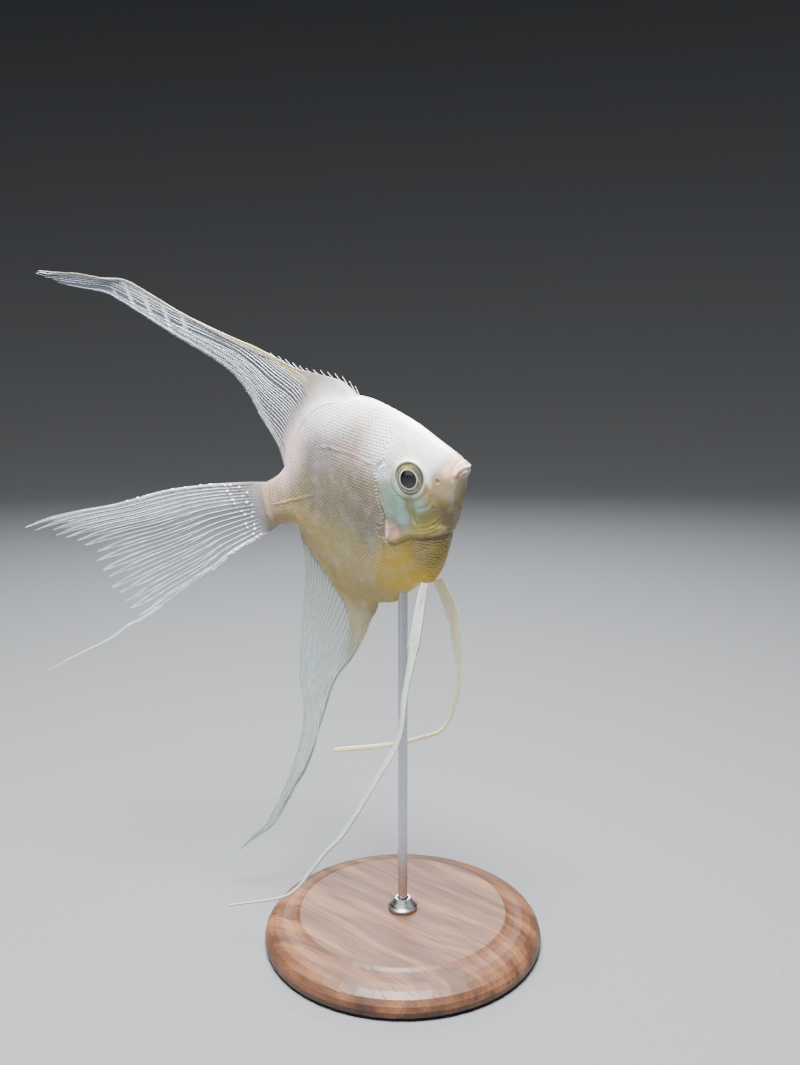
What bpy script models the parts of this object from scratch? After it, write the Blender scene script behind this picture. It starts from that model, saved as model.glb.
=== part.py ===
"""Freshwater angelfish, a still life-size model on a display stand.

The fish is drawn in its own coordinates, as shares of its standard length:
s runs back from the snout, h up, and w out to the fish's right. place() turns
them into metres and adds the sideways sweep of the tail. An empty then tips
the whole fish as it swims: nose up, with its back leaning to its right.
World: metres, +Z up, the fish heads for +X, and the origin is the middle of
the stand's underside.
"""
import math

import bmesh
import bpy
import numpy as np
from mathutils import Matrix, Vector

# Driving sizes, in metres
STANDARD_LENGTH = 0.066      # snout to the end of the tail stem
GAP = 0.0003                 # kept between neighbouring pieces
FIN_THICKNESS = 0.0006

# Pose of the fish
NOSE_UP = math.radians(12.5)
LEAN_RIGHT = math.radians(8.1)
TAIL_SWEEP = math.radians(30.0)   # how far the tail fin turns to the right
SWEEP_START = 0.75                # share of the length where the sweep begins
SWEEP_RUN = 0.40                  # it reaches its full angle over this share

# Stand
BASE_RADIUS = 0.036
BASE_HEIGHT = 0.008
ROD_RADIUS = 0.0012
ROD_FOOT = 0.003             # the rod starts this high inside the base
COLLAR_RADIUS = 0.0038
COLLAR_HEIGHT = 0.0028
SOCKET_AT = (0.455, -0.425)  # where the rod enters the belly, in s and h
SOCKET_HEIGHT = 0.092        # height of that place over the floor
SOCKET_DEPTH = 0.0055

# Outlines in s and h, seen from the fish's right
BACK = [(0.0, 0.016), (0.007, 0.032), (0.019, 0.042), (0.036, 0.064),
        (0.10, 0.125), (0.18, 0.203), (0.30, 0.289), (0.38, 0.331), (0.48, 0.360),
        (0.56, 0.370), (0.64, 0.358), (0.71, 0.329), (0.81, 0.250),
        (0.865, 0.165), (0.92, 0.122), (1.0, 0.102)]
BELLY = [(0.0, 0.001), (0.010, -0.010), (0.026, -0.024), (0.039, -0.044),
         (0.049, -0.070), (0.059, -0.098), (0.075, -0.131), (0.101, -0.168),
         (0.120, -0.188), (0.140, -0.205), (0.164, -0.238), (0.209, -0.306),
         (0.242, -0.348), (0.285, -0.377), (0.36, -0.391), (0.43, -0.417), (0.50, -0.447), (0.58, -0.447),
         (0.66, -0.454), (0.735, -0.447), (0.79, -0.325), (0.85, -0.205),
         (0.885, -0.115), (0.92, -0.088), (1.0, -0.078)]
HALF_THICKNESS = [(0.0, 0.014), (0.008, 0.021), (0.022, 0.028), (0.06, 0.043), (0.12, 0.058),
                  (0.20, 0.073), (0.30, 0.084), (0.40, 0.088), (0.50, 0.084),
                  (0.62, 0.070), (0.75, 0.050), (0.88, 0.034), (0.95, 0.027),
                  (1.0, 0.021)]
STATIONS = 44                # cross-sections along the body
RING = 24                    # points round each

DORSAL_START, DORSAL_END = 0.377, 0.883
DORSAL_FRONT = [(0.46, 0.394), (0.56, 0.442), (0.65, 0.473), (0.77, 0.544),
                (0.865, 0.601), (0.99, 0.698), (1.11, 0.819), (1.217, 0.945),
                (1.282, 1.014), (1.347, 1.039), (1.447, 1.093), (1.584, 1.149)]
DORSAL_REAR = [(1.621, 1.144), (1.582, 1.106), (1.45, 1.03), (1.376, 0.988),
               (1.299, 0.904), (1.165, 0.746), (1.024, 0.589), (0.98, 0.521),
               (0.947, 0.438), (0.929, 0.359), (0.906, 0.293), (0.886, 0.218)]
DORSAL_SPINES = 12
SPINE_TIP = 0.007            # how far a spine stands free of the membrane

ANAL_START, ANAL_END = 0.566, 0.887
ANAL_FRONT = [(0.609, -0.472), (0.658, -0.515), (0.713, -0.577), (0.81, -0.664),
              (0.914, -0.744), (1.006, -0.872), (1.093, -1.008), (1.145, -1.087),
              (1.223, -1.179), (1.318, -1.306), (1.398, -1.362), (1.505, -1.424)]
ANAL_REAR = [(1.512, -1.412), (1.405, -1.345), (1.332, -1.288), (1.243, -1.165),
             (1.165, -1.03), (1.11, -0.91), (1.082, -0.80), (1.075, -0.721),
             (1.052, -0.638), (1.012, -0.524), (0.966, -0.396), (0.922, -0.285),
             (0.904, -0.20)]

TAIL_BASE = 1.0
TAIL_TOP = [(1.041, 0.113), (1.144, 0.135), (1.242, 0.155), (1.378, 0.170),
            (1.565, 0.168), (1.698, 0.178), (1.954, 0.183)]
TAIL_END = [(1.954, 0.174), (1.866, 0.158), (1.772, 0.076), (1.686, 0.018),
            (1.709, -0.039), (1.650, -0.137), (1.686, -0.215), (1.60, -0.308)]
TAIL_STREAMER = [(1.664, -0.340), (1.749, -0.379), (1.909, -0.418), (2.026, -0.453),
                 (2.026, -0.463), (1.909, -0.430), (1.749, -0.392), (1.664, -0.354)]
TAIL_BOTTOM = [(1.559, -0.312), (1.422, -0.257), (1.265, -0.194), (1.184, -0.150),
               (1.025, -0.094)]

# Borders between the pieces of the body
HEAD_BORDER = [(0.265, 0.50), (0.30, 0.30), (0.325, 0.10), (0.32, -0.10),
               (0.30, -0.188), (0.22, -0.199), (0.17, -0.200), (0.06, -0.245)]
STEM_BORDER = 0.862
GILL_COVER = [(0.300, 0.062), (0.337, 0.068), (0.349, 0.025), (0.360, -0.033),
              (0.359, -0.103), (0.373, -0.145), (0.386, -0.190), (0.345, -0.203),
              (0.285, -0.184), (0.250, -0.166), (0.239, -0.138), (0.240, -0.106),
              (0.262, -0.070), (0.290, -0.030), (0.297, 0.015)]
GILL_COVER_FLOOR = 0.035     # the cover reaches in to this w

EYE_AT = (0.214, 0.018)
EYE_RADIUS = 0.058           # of the whole orbit, as a share of the length
EYE_DEPTH = 0.030            # half of its thickness
EYE_STANDS_OUT = 0.012       # past the cheek
EYE_TURN = math.radians(9.0)  # it looks this far forward

PECTORAL_ROOT = (0.405, -0.155)
PECTORAL_HALF_ROOT = 0.028
PECTORAL_LENGTH = 0.27
PECTORAL_TURN = math.radians(100.0)  # spread square to the flank, as in hovering
PECTORAL_DROOP = math.radians(14.0)
PECTORAL_FAN = math.radians(78.0)    # from its first ray to its last
PECTORAL_RAYS = 13

# Feelers: the long pelvic fins, in s, h and w, and how wide each is along it
FEELER_RIGHT = [(0.300, -0.380, 0.040), (0.313, -0.412, 0.048), (0.347, -0.515, 0.076),
                (0.392, -0.641, 0.110), (0.443, -0.772, 0.146), (0.497, -0.928, 0.183),
                (0.602, -1.069, 0.256), (0.733, -1.231, 0.346), (0.819, -1.305, 0.404),
                (0.884, -1.369, 0.448), (0.945, -1.426, 0.489), (1.013, -1.449, 0.532),
                (1.194, -1.445, 0.638)]
RIGHT_WIDTHS = [(0.0, 0.0013), (0.03, 0.0020), (0.06, 0.0023), (0.11, 0.0026),
                (0.148, 0.0027), (0.162, 0.0020), (0.20, 0.0018), (0.28, 0.0014),
                (0.60, 0.0011), (1.0, 0.0006)]
FEELER_LEFT = [(0.299, -0.392, -0.040), (0.294, -0.454, -0.053), (0.300, -0.537, -0.070),
               (0.324, -0.635, -0.079), (0.366, -0.783, -0.092), (0.389, -0.841, -0.092),
               (0.422, -0.901, -0.087), (0.462, -0.960, -0.078), (0.504, -0.997, -0.064),
               (0.553, -1.012, -0.047), (0.713, -1.032, 0.005), (0.975, -1.032, 0.086)]
LEFT_WIDTHS = [(0.0, 0.0022), (0.05, 0.0028), (0.09, 0.0031), (0.135, 0.0032),
               (0.150, 0.0024), (0.19, 0.0022), (0.27, 0.0019), (0.285, 0.0014),
               (0.36, 0.0011), (0.60, 0.0010), (1.0, 0.0006)]
FEELER_FACES = Vector((0.45, -0.89, 0.0))    # both blades look forward and right
FEELER_THICKNESS = 0.0008
FEELER_STATIONS = 46
FEELER_RING = 8


def curve_through(points, steps=6):
    """A smooth Catmull-Rom path through points of any dimension."""
    knots = [np.array(p, float) for p in points]
    knots = [2 * knots[0] - knots[1]] + knots + [2 * knots[-1] - knots[-2]]
    path = []
    for a, b, c, d in zip(knots, knots[1:], knots[2:], knots[3:]):
        for k in range(steps):
            t = k / steps
            path.append(0.5 * (2 * b + (c - a) * t + (2 * a - 5 * b + 4 * c - d) * t * t
                               + (3 * b - a - 3 * c + d) * t ** 3))
    path.append(knots[-2])
    return path


def profile(points):
    """The height of a smooth outline as a function of s."""
    path = np.array(curve_through(points, 16))
    return lambda s: float(np.interp(s, path[:, 0], path[:, 1]))


back = profile(BACK)
belly = profile(BELLY)
half_thickness = profile(HALF_THICKNESS)


def ease(start, end, value):
    """A smooth step from 0 at start to 1 at end."""
    t = min(max((value - start) / (end - start), 0.0), 1.0)
    return t * t * (3.0 - 2.0 * t)


def sweep(s):
    """How far the body's middle plane stands to the right of straight."""
    run = max(s - SWEEP_START, 0.0)
    slope = math.tan(TAIL_SWEEP)
    if run < SWEEP_RUN:
        return slope * run * run / (2.0 * SWEEP_RUN)
    return slope * (run - SWEEP_RUN / 2.0)


def place_straight(s, h, w):
    """Metres in the fish's own frame: +X ahead, +Y to its left, +Z up."""
    return Vector((-s, -w, h)) * STANDARD_LENGTH


def place(s, h, w=0.0):
    """The same for what is part of the swept body, where w is off its middle."""
    return place_straight(s, h, w + sweep(s))


def middle_height(s):
    """The height where a cross-section is thickest."""
    return 0.008 - 0.018 * ease(0.0, 0.06, s) - 0.015 * math.sin(math.pi * s)


def half_width(s, h):
    """Half the body's thickness at a place on its side."""
    middle = middle_height(s)
    if h > middle:
        rise = (h - middle) / (back(s) - middle)
        power = 0.60 + 0.25 * ease(0.30, 0.75, s)
    else:
        rise = (middle - h) / (middle - belly(s))
        power = 0.45 + 0.50 * ease(0.30, 0.78, s)
    return half_thickness(s) * (1.0 - min(rise, 1.0) ** 2) ** power


def cross_section(s):
    """One ring of the body, sharp along the back and the keel."""
    ring = []
    middle = middle_height(s)
    for i in range(RING):
        angle = 2.0 * math.pi * i / RING
        reach = back(s) - middle if math.sin(angle) > 0 else middle - belly(s)
        h = middle + reach * math.sin(angle)
        side = 1.0 if math.cos(angle) > 0 else -1.0
        on_midline = i % (RING // 4) == 0 and i % (RING // 2) != 0
        ring.append(place(s, h, 0.0 if on_midline else side * half_width(s, h)))
    return ring


def body_stations():
    """Cross-sections crowd at the snout, where the outline turns fastest."""
    return [TAIL_BASE * (i / (STATIONS - 1)) ** 1.25 for i in range(STATIONS)]


def make_material(name, colour, roughness, metallic=0.0, alpha=1.0):
    material = bpy.data.materials.new(name)
    material.use_nodes = True
    shader = material.node_tree.nodes["Principled BSDF"]
    shader.inputs["Base Color"].default_value = (*colour, 1.0)
    shader.inputs["Roughness"].default_value = roughness
    shader.inputs["Metallic"].default_value = metallic
    shader.inputs["Alpha"].default_value = alpha
    return material


def make_object(name, mesh, collection, material=None, parent=None):
    item = bpy.data.objects.new(name, mesh)
    collection.objects.link(item)
    item.parent = parent
    if material:
        mesh.materials.append(material)
    return item


def make_cutter(name, mesh, collection, parent=None):
    cutter = make_object(name, mesh, collection, parent=parent)
    cutter.hide_render = True
    cutter.display_type = "WIRE"
    return cutter


def boolean(item, cutter, operation):
    modifier = item.modifiers.new(cutter.name, "BOOLEAN")
    modifier.operation = operation
    modifier.object = cutter


def loft_mesh(name, rings, smooth=False):
    """A closed skin over rings of equal count, flat at both ends."""
    bm = bmesh.new()
    loops = [[bm.verts.new(point) for point in ring] for ring in rings]
    for near, far in zip(loops, loops[1:]):
        for i in range(len(near)):
            j = (i + 1) % len(near)
            bm.faces.new((near[i], near[j], far[j], far[i]))
    bm.faces.new(loops[0])
    bm.faces.new(loops[-1])
    bmesh.ops.recalc_face_normals(bm, faces=bm.faces)
    mesh = bpy.data.meshes.new(name)
    bm.to_mesh(mesh)
    bm.free()
    if smooth:
        mesh.shade_smooth()
    return mesh


def prism_mesh(name, outline, inner=-0.4, outer=0.4):
    """A cutter that stands square on the fish's middle plane."""
    rings = [[place(s, h, w) for s, h in outline] for w in (inner, outer)]
    return loft_mesh(name, rings)


def grown(outline, distance):
    """The outline moved outwards by a distance in metres."""
    points = [Vector(p) for p in outline]
    result = []
    area = sum(a.x * b.y - b.x * a.y for a, b in zip(points, points[1:] + points[:1]))
    turn = 1.0 if area > 0 else -1.0
    for i, point in enumerate(points):
        along = (points[(i + 1) % len(points)] - points[i - 1]).normalized()
        outwards = Vector((along.y, -along.x)) * turn
        result.append(tuple(point + outwards * distance / STANDARD_LENGTH))
    return result


def cut_body(name, body_mesh, outline, rooms, material, collections, pose):
    """A piece of the body: what lies inside an outline and outside the rooms."""
    parts, cutters = collections
    piece = make_object(name, body_mesh.copy(), parts, material, pose)
    for room in rooms:
        boolean(piece, room, "DIFFERENCE")
    area = make_cutter("cut_" + name, prism_mesh("cut_" + name, outline), cutters, pose)
    boolean(piece, area, "INTERSECT")
    return piece


def eye_mesh(name, extra):
    """A flattened globe with its poles out to the sides."""
    bm = bmesh.new()
    bmesh.ops.create_uvsphere(bm, u_segments=20, v_segments=12, radius=1.0)
    across = EYE_RADIUS * STANDARD_LENGTH + extra
    depth = EYE_DEPTH * STANDARD_LENGTH + extra
    bmesh.ops.scale(bm, vec=(across, across, depth), verts=bm.verts)
    bmesh.ops.rotate(bm, matrix=Matrix.Rotation(math.pi / 2, 3, "X"), verts=bm.verts)
    mesh = bpy.data.meshes.new(name)
    bm.to_mesh(mesh)
    bm.free()
    mesh.shade_smooth()
    return mesh


def make_gill_covers(body_mesh, collections, pose, material):
    """Both covers, and the rooms that the head and trunk leave for them."""
    parts, cutters = collections
    rooms = []
    step = GAP / STANDARD_LENGTH
    for side, sign in (("right", 1.0), ("left", -1.0)):
        cover = make_object("gill_cover_" + side, body_mesh.copy(), parts, material, pose)
        edges = sorted((sign * GILL_COVER_FLOOR, sign * 0.2))
        area = prism_mesh("cut_gill_cover_" + side, GILL_COVER, *edges)
        boolean(cover, make_cutter(area.name, area, cutters, pose), "INTERSECT")
        edges = sorted((sign * (GILL_COVER_FLOOR - step), sign * 0.2))
        room = prism_mesh("room_gill_cover_" + side, grown(GILL_COVER, GAP), *edges)
        rooms.append(make_cutter(room.name, room, cutters, pose))
    return rooms


def make_eyes(collections, pose, material):
    """Both eyes, and the sockets that the head leaves for them."""
    parts, cutters = collections
    sockets = []
    w = half_width(*EYE_AT) + EYE_STANDS_OUT - EYE_DEPTH
    for side, sign in (("right", 1.0), ("left", -1.0)):
        eye = make_object("eye_" + side, eye_mesh("eye_" + side, 0.0), parts, material, pose)
        socket = make_cutter("socket_" + side, eye_mesh("socket_" + side, GAP), cutters, pose)
        for item in (eye, socket):
            item.location = place(*EYE_AT, sign * w)
            item.rotation_euler = (0.0, 0.0, sign * EYE_TURN)
        sockets.append(socket)
    return sockets


def make_body(collections, pose, rod_room, materials):
    """Head, trunk, tail stem, gill covers and eyes, parted by thin cuts."""
    body_mesh = loft_mesh("body", [cross_section(s) for s in body_stations()], True)
    step = GAP / STANDARD_LENGTH
    rooms = make_gill_covers(body_mesh, collections, pose, materials["gill_cover"])
    sockets = make_eyes(collections, pose, materials["eye"])
    ahead = [(-0.2, -0.245), (-0.2, 0.50)]
    cut_body("head", body_mesh, HEAD_BORDER + ahead, rooms + sockets,
             materials["head"], collections, pose)
    behind_head = [(s + step, h - step) for s, h in HEAD_BORDER]
    behind_head += [(0.06, -0.60), (STEM_BORDER, -0.60), (STEM_BORDER, 0.50)]
    cut_body("trunk", body_mesh, behind_head, [rod_room] + rooms, materials["trunk"],
             collections, pose)
    stem_start = STEM_BORDER + step
    stem_area = [(stem_start, -0.6), (stem_start, 0.5), (1.2, 0.5), (1.2, -0.6)]
    cut_body("tail_stem", body_mesh, stem_area, [], materials["trunk"], collections, pose)


def beside_body(outline, start, end, side):
    """The edge of a fin along the body, clear of it by the gap."""
    inside = [s for s in body_stations() if start < s < end]
    points = [Vector((s, outline(s))) for s in [start] + inside + [end]]
    edge = []
    for i, point in enumerate(points):
        after = points[min(i + 1, len(points) - 1)]
        before = points[max(i - 1, 0)]
        along = (after - before).normalized()
        outwards = Vector((-along.y, along.x)) * side
        edge.append(tuple(point + outwards * 1.5 * GAP / STANDARD_LENGTH))
    return edge


def spiny(path, count, tip):
    """Free spine tips along the front of a fin: a tooth, then the membrane."""
    points = [Vector(p) for p in path]
    edge = []
    for i in range(count):
        place_on_path = i * (len(points) - 2) / count
        k = int(place_on_path)
        at = points[k].lerp(points[k + 1], place_on_path - k)
        along = (points[k + 1] - points[k]).normalized()
        outwards = Vector((-along.y, along.x))
        edge.append(tuple(at + (outwards + along * 0.8) * tip))
        edge.append(tuple(at + along * tip * 1.6))
    return edge


def fin_mesh(name, outline):
    """A flat outline, divided across the sweep and then bent to it."""
    bm = bmesh.new()
    bm.faces.new([bm.verts.new((-s, 0.0, h)) for s, h in outline])
    s = SWEEP_START
    while s < 2.1:
        geometry = bm.verts[:] + bm.edges[:] + bm.faces[:]
        bmesh.ops.bisect_plane(bm, geom=geometry, plane_co=(-s, 0.0, 0.0),
                               plane_no=(1.0, 0.0, 0.0), dist=1e-5)
        s += 0.05
    for vertex in bm.verts:
        vertex.co = place(-vertex.co.x, vertex.co.z)
    mesh = bpy.data.meshes.new(name)
    bm.to_mesh(mesh)
    bm.free()
    return mesh


def make_plate_fin(name, outline, material, collection, pose):
    """A fin cut from a swept sheet and given its thickness."""
    fin = make_object(name, fin_mesh(name, outline), collection, material, pose)
    wall = fin.modifiers.new("wall", "SOLIDIFY")
    wall.thickness = FIN_THICKNESS
    wall.offset = 0.0
    return fin


def make_median_fins(collection, pose, material):
    """Dorsal, anal and tail fins, which stand on the middle plane."""
    front = curve_through([(DORSAL_START, back(DORSAL_START))] + DORSAL_FRONT, 3)
    spine_run = 9
    dorsal = beside_body(back, DORSAL_START, DORSAL_END, 1.0)[::-1]
    dorsal += spiny(front[1:spine_run + 2], DORSAL_SPINES, SPINE_TIP)
    dorsal += [tuple(p) for p in front[spine_run + 1:]]
    dorsal += [tuple(p) for p in curve_through(DORSAL_REAR, 2)]
    make_plate_fin("dorsal_fin", dorsal, material, collection, pose)
    anal = beside_body(belly, ANAL_START, ANAL_END, -1.0)[::-1]
    anal += [tuple(p) for p in curve_through(ANAL_FRONT, 2)]
    anal += [tuple(p) for p in curve_through(ANAL_REAR, 2)]
    make_plate_fin("anal_fin", anal, material, collection, pose)
    root = TAIL_BASE + GAP / STANDARD_LENGTH
    tail = [(root, belly(TAIL_BASE)), (root, back(TAIL_BASE))]
    tail += [tuple(p) for p in curve_through(TAIL_TOP, 2)]
    tail += TAIL_END + TAIL_STREAMER + TAIL_BOTTOM
    make_plate_fin("tail_fin", tail, material, collection, pose)


def make_pectoral(side, sign, collection, pose, material):
    """A fan on the flank, its rays longest near the upper edge."""
    outline = [(0.0, -PECTORAL_HALF_ROOT), (0.0, PECTORAL_HALF_ROOT)]
    for i in range(PECTORAL_RAYS):
        share = i / (PECTORAL_RAYS - 1)
        angle = PECTORAL_FAN * (0.5 - share)
        length = PECTORAL_LENGTH * (1.0 - 0.45 * abs(share - 0.35) ** 1.4)
        outline.append((math.cos(angle) * length, math.sin(angle) * length))
    mesh = bpy.data.meshes.new("pectoral_fin_" + side)
    bm = bmesh.new()
    bm.faces.new([bm.verts.new((-a * STANDARD_LENGTH, 0.0, b * STANDARD_LENGTH))
                  for a, b in outline])
    bm.to_mesh(mesh)
    bm.free()
    fin = make_object("pectoral_fin_" + side, mesh, collection, material, pose)
    clear = half_width(*PECTORAL_ROOT) + 2.5 * GAP / STANDARD_LENGTH
    fin.location = place(*PECTORAL_ROOT, sign * clear)
    fin.rotation_euler = (0.0, -PECTORAL_DROOP, sign * PECTORAL_TURN)
    wall = fin.modifiers.new("wall", "SOLIDIFY")
    wall.thickness = FIN_THICKNESS
    wall.offset = 0.0


def make_feeler(name, points, widths, collection, pose, material):
    """A long blade of a few rays that tapers to a thread."""
    path = [Vector(p) for p in curve_through(points, 12)]
    lengths = [0.0]
    for a, b in zip(path, path[1:]):
        lengths.append(lengths[-1] + (b - a).length)
    breadth = profile(widths)
    rings = []
    for i in range(FEELER_STATIONS):
        share = (i / (FEELER_STATIONS - 1)) ** 1.15
        k = min(int(np.searchsorted(lengths, share * lengths[-1])), len(path) - 1)
        centre = place_straight(*path[k])
        before = place_straight(*path[max(k - 1, 0)])
        after = place_straight(*path[min(k + 1, len(path) - 1)])
        along = (after - before).normalized()
        thick_way = (FEELER_FACES - along * FEELER_FACES.dot(along)).normalized()
        wide_way = along.cross(thick_way)
        wide = breadth(share) / 2.0
        thick = min(FEELER_THICKNESS, 2.0 * wide) / 2.0
        ring = []
        for j in range(FEELER_RING):
            angle = 2.0 * math.pi * j / FEELER_RING
            ring.append(centre + wide_way * wide * math.cos(angle)
                        + thick_way * thick * math.sin(angle))
        rings.append(ring)
    make_object(name, loft_mesh(name, rings, True), collection, material, pose)


def cylinder_mesh(name, radius, bottom, top, segments=32):
    bm = bmesh.new()
    bmesh.ops.create_cone(bm, cap_ends=True, segments=segments, radius1=radius,
                          radius2=radius, depth=top - bottom)
    bmesh.ops.translate(bm, vec=(0.0, 0.0, (top + bottom) / 2.0), verts=bm.verts)
    mesh = bpy.data.meshes.new(name)
    bm.to_mesh(mesh)
    bm.free()
    mesh.shade_smooth()
    mesh.set_sharp_from_angle(angle=math.radians(40.0))
    return mesh


def make_turned(name, outline, collection, material, steps, ring=False):
    """A profile in radius and height, spun round the rod's axis."""
    mesh = bpy.data.meshes.new(name)
    edges = [(i, i + 1) for i in range(len(outline) - 1)]
    if ring:
        edges.append((len(outline) - 1, 0))
    mesh.from_pydata([(r, 0.0, z) for r, z in outline], edges, [])
    item = make_object(name, mesh, collection, material)
    screw = item.modifiers.new("turn", "SCREW")
    screw.steps = steps
    screw.render_steps = steps
    screw.use_merge_vertices = True
    screw.merge_threshold = 0.00001
    return item


def make_rod_room(cutters):
    """The blind hole that takes the rod's end in the belly."""
    room = cylinder_mesh("belly_socket", ROD_RADIUS + GAP, SOCKET_HEIGHT - 0.02,
                         SOCKET_HEIGHT + SOCKET_DEPTH, 24)
    return make_cutter(room.name, room, cutters)


def make_stand(collections, materials):
    """A turned base, a collar, and a slim rod up into the belly."""
    parts, cutters = collections
    foot = BASE_RADIUS - 0.0015
    base_outline = [(0.0, BASE_HEIGHT), (0.0268, BASE_HEIGHT), (0.0278, 0.0075),
                    (0.0292, 0.0071), (0.0312, 0.0068), (0.0332, 0.0061),
                    (0.0348, 0.0050), (0.0357, 0.0037), (BASE_RADIUS, 0.0024),
                    (0.0358, 0.0010), (foot, 0.0), (0.0, 0.0)]
    base = make_turned("stand_base", base_outline, parts, materials["wood"], 48)
    hole = cylinder_mesh("rod_hole", ROD_RADIUS + GAP, ROD_FOOT - GAP, BASE_HEIGHT + 0.01)
    boolean(base, make_cutter(hole.name, hole, cutters), "DIFFERENCE")
    low = BASE_HEIGHT + GAP
    inner = ROD_RADIUS + GAP
    shoulder = 0.0006
    collar_top = low + COLLAR_HEIGHT
    collar_outline = [(inner, collar_top), (COLLAR_RADIUS - 3 * shoulder, collar_top),
                      (COLLAR_RADIUS - shoulder, low + 2 * shoulder),
                      (COLLAR_RADIUS, low + shoulder), (COLLAR_RADIUS, low), (inner, low)]
    make_turned("stand_collar", collar_outline, parts, materials["steel"], 32, True)
    top = SOCKET_HEIGHT + SOCKET_DEPTH
    rod = cylinder_mesh("stand_rod", ROD_RADIUS, ROD_FOOT, top - GAP, 24)
    make_object("stand_rod", rod, parts, materials["steel"])


def main():
    for item in list(bpy.data.objects):
        bpy.data.objects.remove(item)
    parts = bpy.data.collections.new("freshwater_angelfish")
    cutters = bpy.data.collections.new("cutters")
    for collection in (parts, cutters):
        bpy.context.scene.collection.children.link(collection)
    collections = (parts, cutters)
    materials = {
        "head": make_material("pearl_head", (0.80, 0.74, 0.70), 0.35),
        "trunk": make_material("pearl_trunk", (0.78, 0.74, 0.68), 0.35),
        "gill_cover": make_material("pearl_gill_cover", (0.60, 0.68, 0.64), 0.3),
        "fin": make_material("fin_membrane", (0.62, 0.68, 0.74), 0.35, alpha=0.8),
        "eye": make_material("eye", (0.03, 0.03, 0.03), 0.05),
        "wood": make_material("walnut", (0.10, 0.05, 0.03), 0.4),
        "steel": make_material("satin_steel", (0.6, 0.6, 0.62), 0.3, 1.0),
    }
    pose = bpy.data.objects.new("fish_pose", None)
    parts.objects.link(pose)
    pose.rotation_euler = (LEAN_RIGHT, -NOSE_UP, 0.0)
    turn = pose.rotation_euler.to_matrix()
    pose.location = Vector((0.0, 0.0, SOCKET_HEIGHT)) - turn @ place(*SOCKET_AT)

    make_body(collections, pose, make_rod_room(cutters), materials)
    make_median_fins(parts, pose, materials["fin"])
    for side, sign in (("right", 1.0), ("left", -1.0)):
        make_pectoral(side, sign, parts, pose, materials["fin"])
    make_feeler("pelvic_fin_right", FEELER_RIGHT, RIGHT_WIDTHS, parts, pose,
                materials["fin"])
    make_feeler("pelvic_fin_left", FEELER_LEFT, LEFT_WIDTHS, parts, pose,
                materials["fin"])
    make_stand(collections, materials)


main()
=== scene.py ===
# %% [markdown]
# # A freshwater angelfish on its display stand
#
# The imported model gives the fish's true size, its pose and its stand as plain solids.
# This script dresses them: one sculpted skin, rows of scales, fins of film and rays,
# two long feelers, layered eyes, and a walnut and steel stand. Everything is in metres.

# %% Load the frame and keep its size
import math

import bmesh
import bpy
import numpy as np
from mathutils import Euler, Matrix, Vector


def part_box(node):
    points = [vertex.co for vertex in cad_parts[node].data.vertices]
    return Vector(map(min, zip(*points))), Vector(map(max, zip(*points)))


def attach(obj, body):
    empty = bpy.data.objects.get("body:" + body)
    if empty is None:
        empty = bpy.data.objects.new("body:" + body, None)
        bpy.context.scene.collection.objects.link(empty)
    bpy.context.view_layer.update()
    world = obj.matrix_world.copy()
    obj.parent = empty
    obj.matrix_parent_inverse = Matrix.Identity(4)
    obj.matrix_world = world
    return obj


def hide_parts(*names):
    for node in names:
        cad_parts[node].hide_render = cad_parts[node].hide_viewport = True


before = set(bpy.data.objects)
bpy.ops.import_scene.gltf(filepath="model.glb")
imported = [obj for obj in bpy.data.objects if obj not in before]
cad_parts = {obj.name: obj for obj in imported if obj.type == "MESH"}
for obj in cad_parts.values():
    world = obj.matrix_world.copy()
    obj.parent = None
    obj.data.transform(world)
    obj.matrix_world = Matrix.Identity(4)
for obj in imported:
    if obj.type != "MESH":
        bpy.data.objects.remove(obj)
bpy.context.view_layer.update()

# %% [markdown]
# ## The fish's own coordinates
#
# A fish is easiest to draw from the side. Every place on it is given as s, its distance
# back from the snout, h, its height, and w, how far it stands to the fish's right. All
# three are shares of the standard length, which runs from the snout to the end of the
# tail stem. One function adds the sideways sweep of the tail and another tips the whole
# fish nose-up on its rod, so no object has to be turned afterwards.

# %% Driving sizes, and the way from shares of the length to metres
LENGTH = 0.066
NOSE_UP = math.radians(12.5)
LEAN_RIGHT = math.radians(8.1)
TAIL_SWEEP = math.radians(30.0)
SWEEP_START = 0.75
SWEEP_RUN = 0.40
SOCKET_AT = (0.455, -0.425)
SOCKET_HEIGHT = 0.092
SIDES = (("right", 1.0), ("left", -1.0))


def ease(start, end, value):
    """A smooth step from 0 at start to 1 at end."""
    t = np.clip((value - start) / (end - start), 0.0, 1.0)
    return t * t * (3.0 - 2.0 * t)


def sweep(s):
    """How far the middle plane stands to the right of straight: a parabola, then a line."""
    run = np.maximum(s - SWEEP_START, 0.0)
    slope = math.tan(TAIL_SWEEP)
    return np.where(run < SWEEP_RUN, slope * run * run / (2.0 * SWEEP_RUN),
                    slope * (run - SWEEP_RUN / 2.0))


def place_straight(s, h, w):
    """Metres in the fish's frame: +X ahead, +Y to its left, +Z up."""
    s, h, w = np.broadcast_arrays(s, h, w)
    return np.stack([-s, -w, h], axis=-1) * LENGTH


def place(s, h, w=0.0):
    """The same for what follows the swept body, where w is off its middle plane."""
    return place_straight(s, h, w + sweep(s))


fish_turn = np.array(Euler((LEAN_RIGHT, -NOSE_UP, 0.0)).to_matrix())
fish_at = np.array((0.0, 0.0, SOCKET_HEIGHT)) - fish_turn @ place(*SOCKET_AT)


def to_room(points):
    """From the fish's frame to the room."""
    return points @ fish_turn.T + fish_at


print("the snout is at, in mm:", (to_room(place(0.0, 0.0)) * 1000).round(1))

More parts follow.
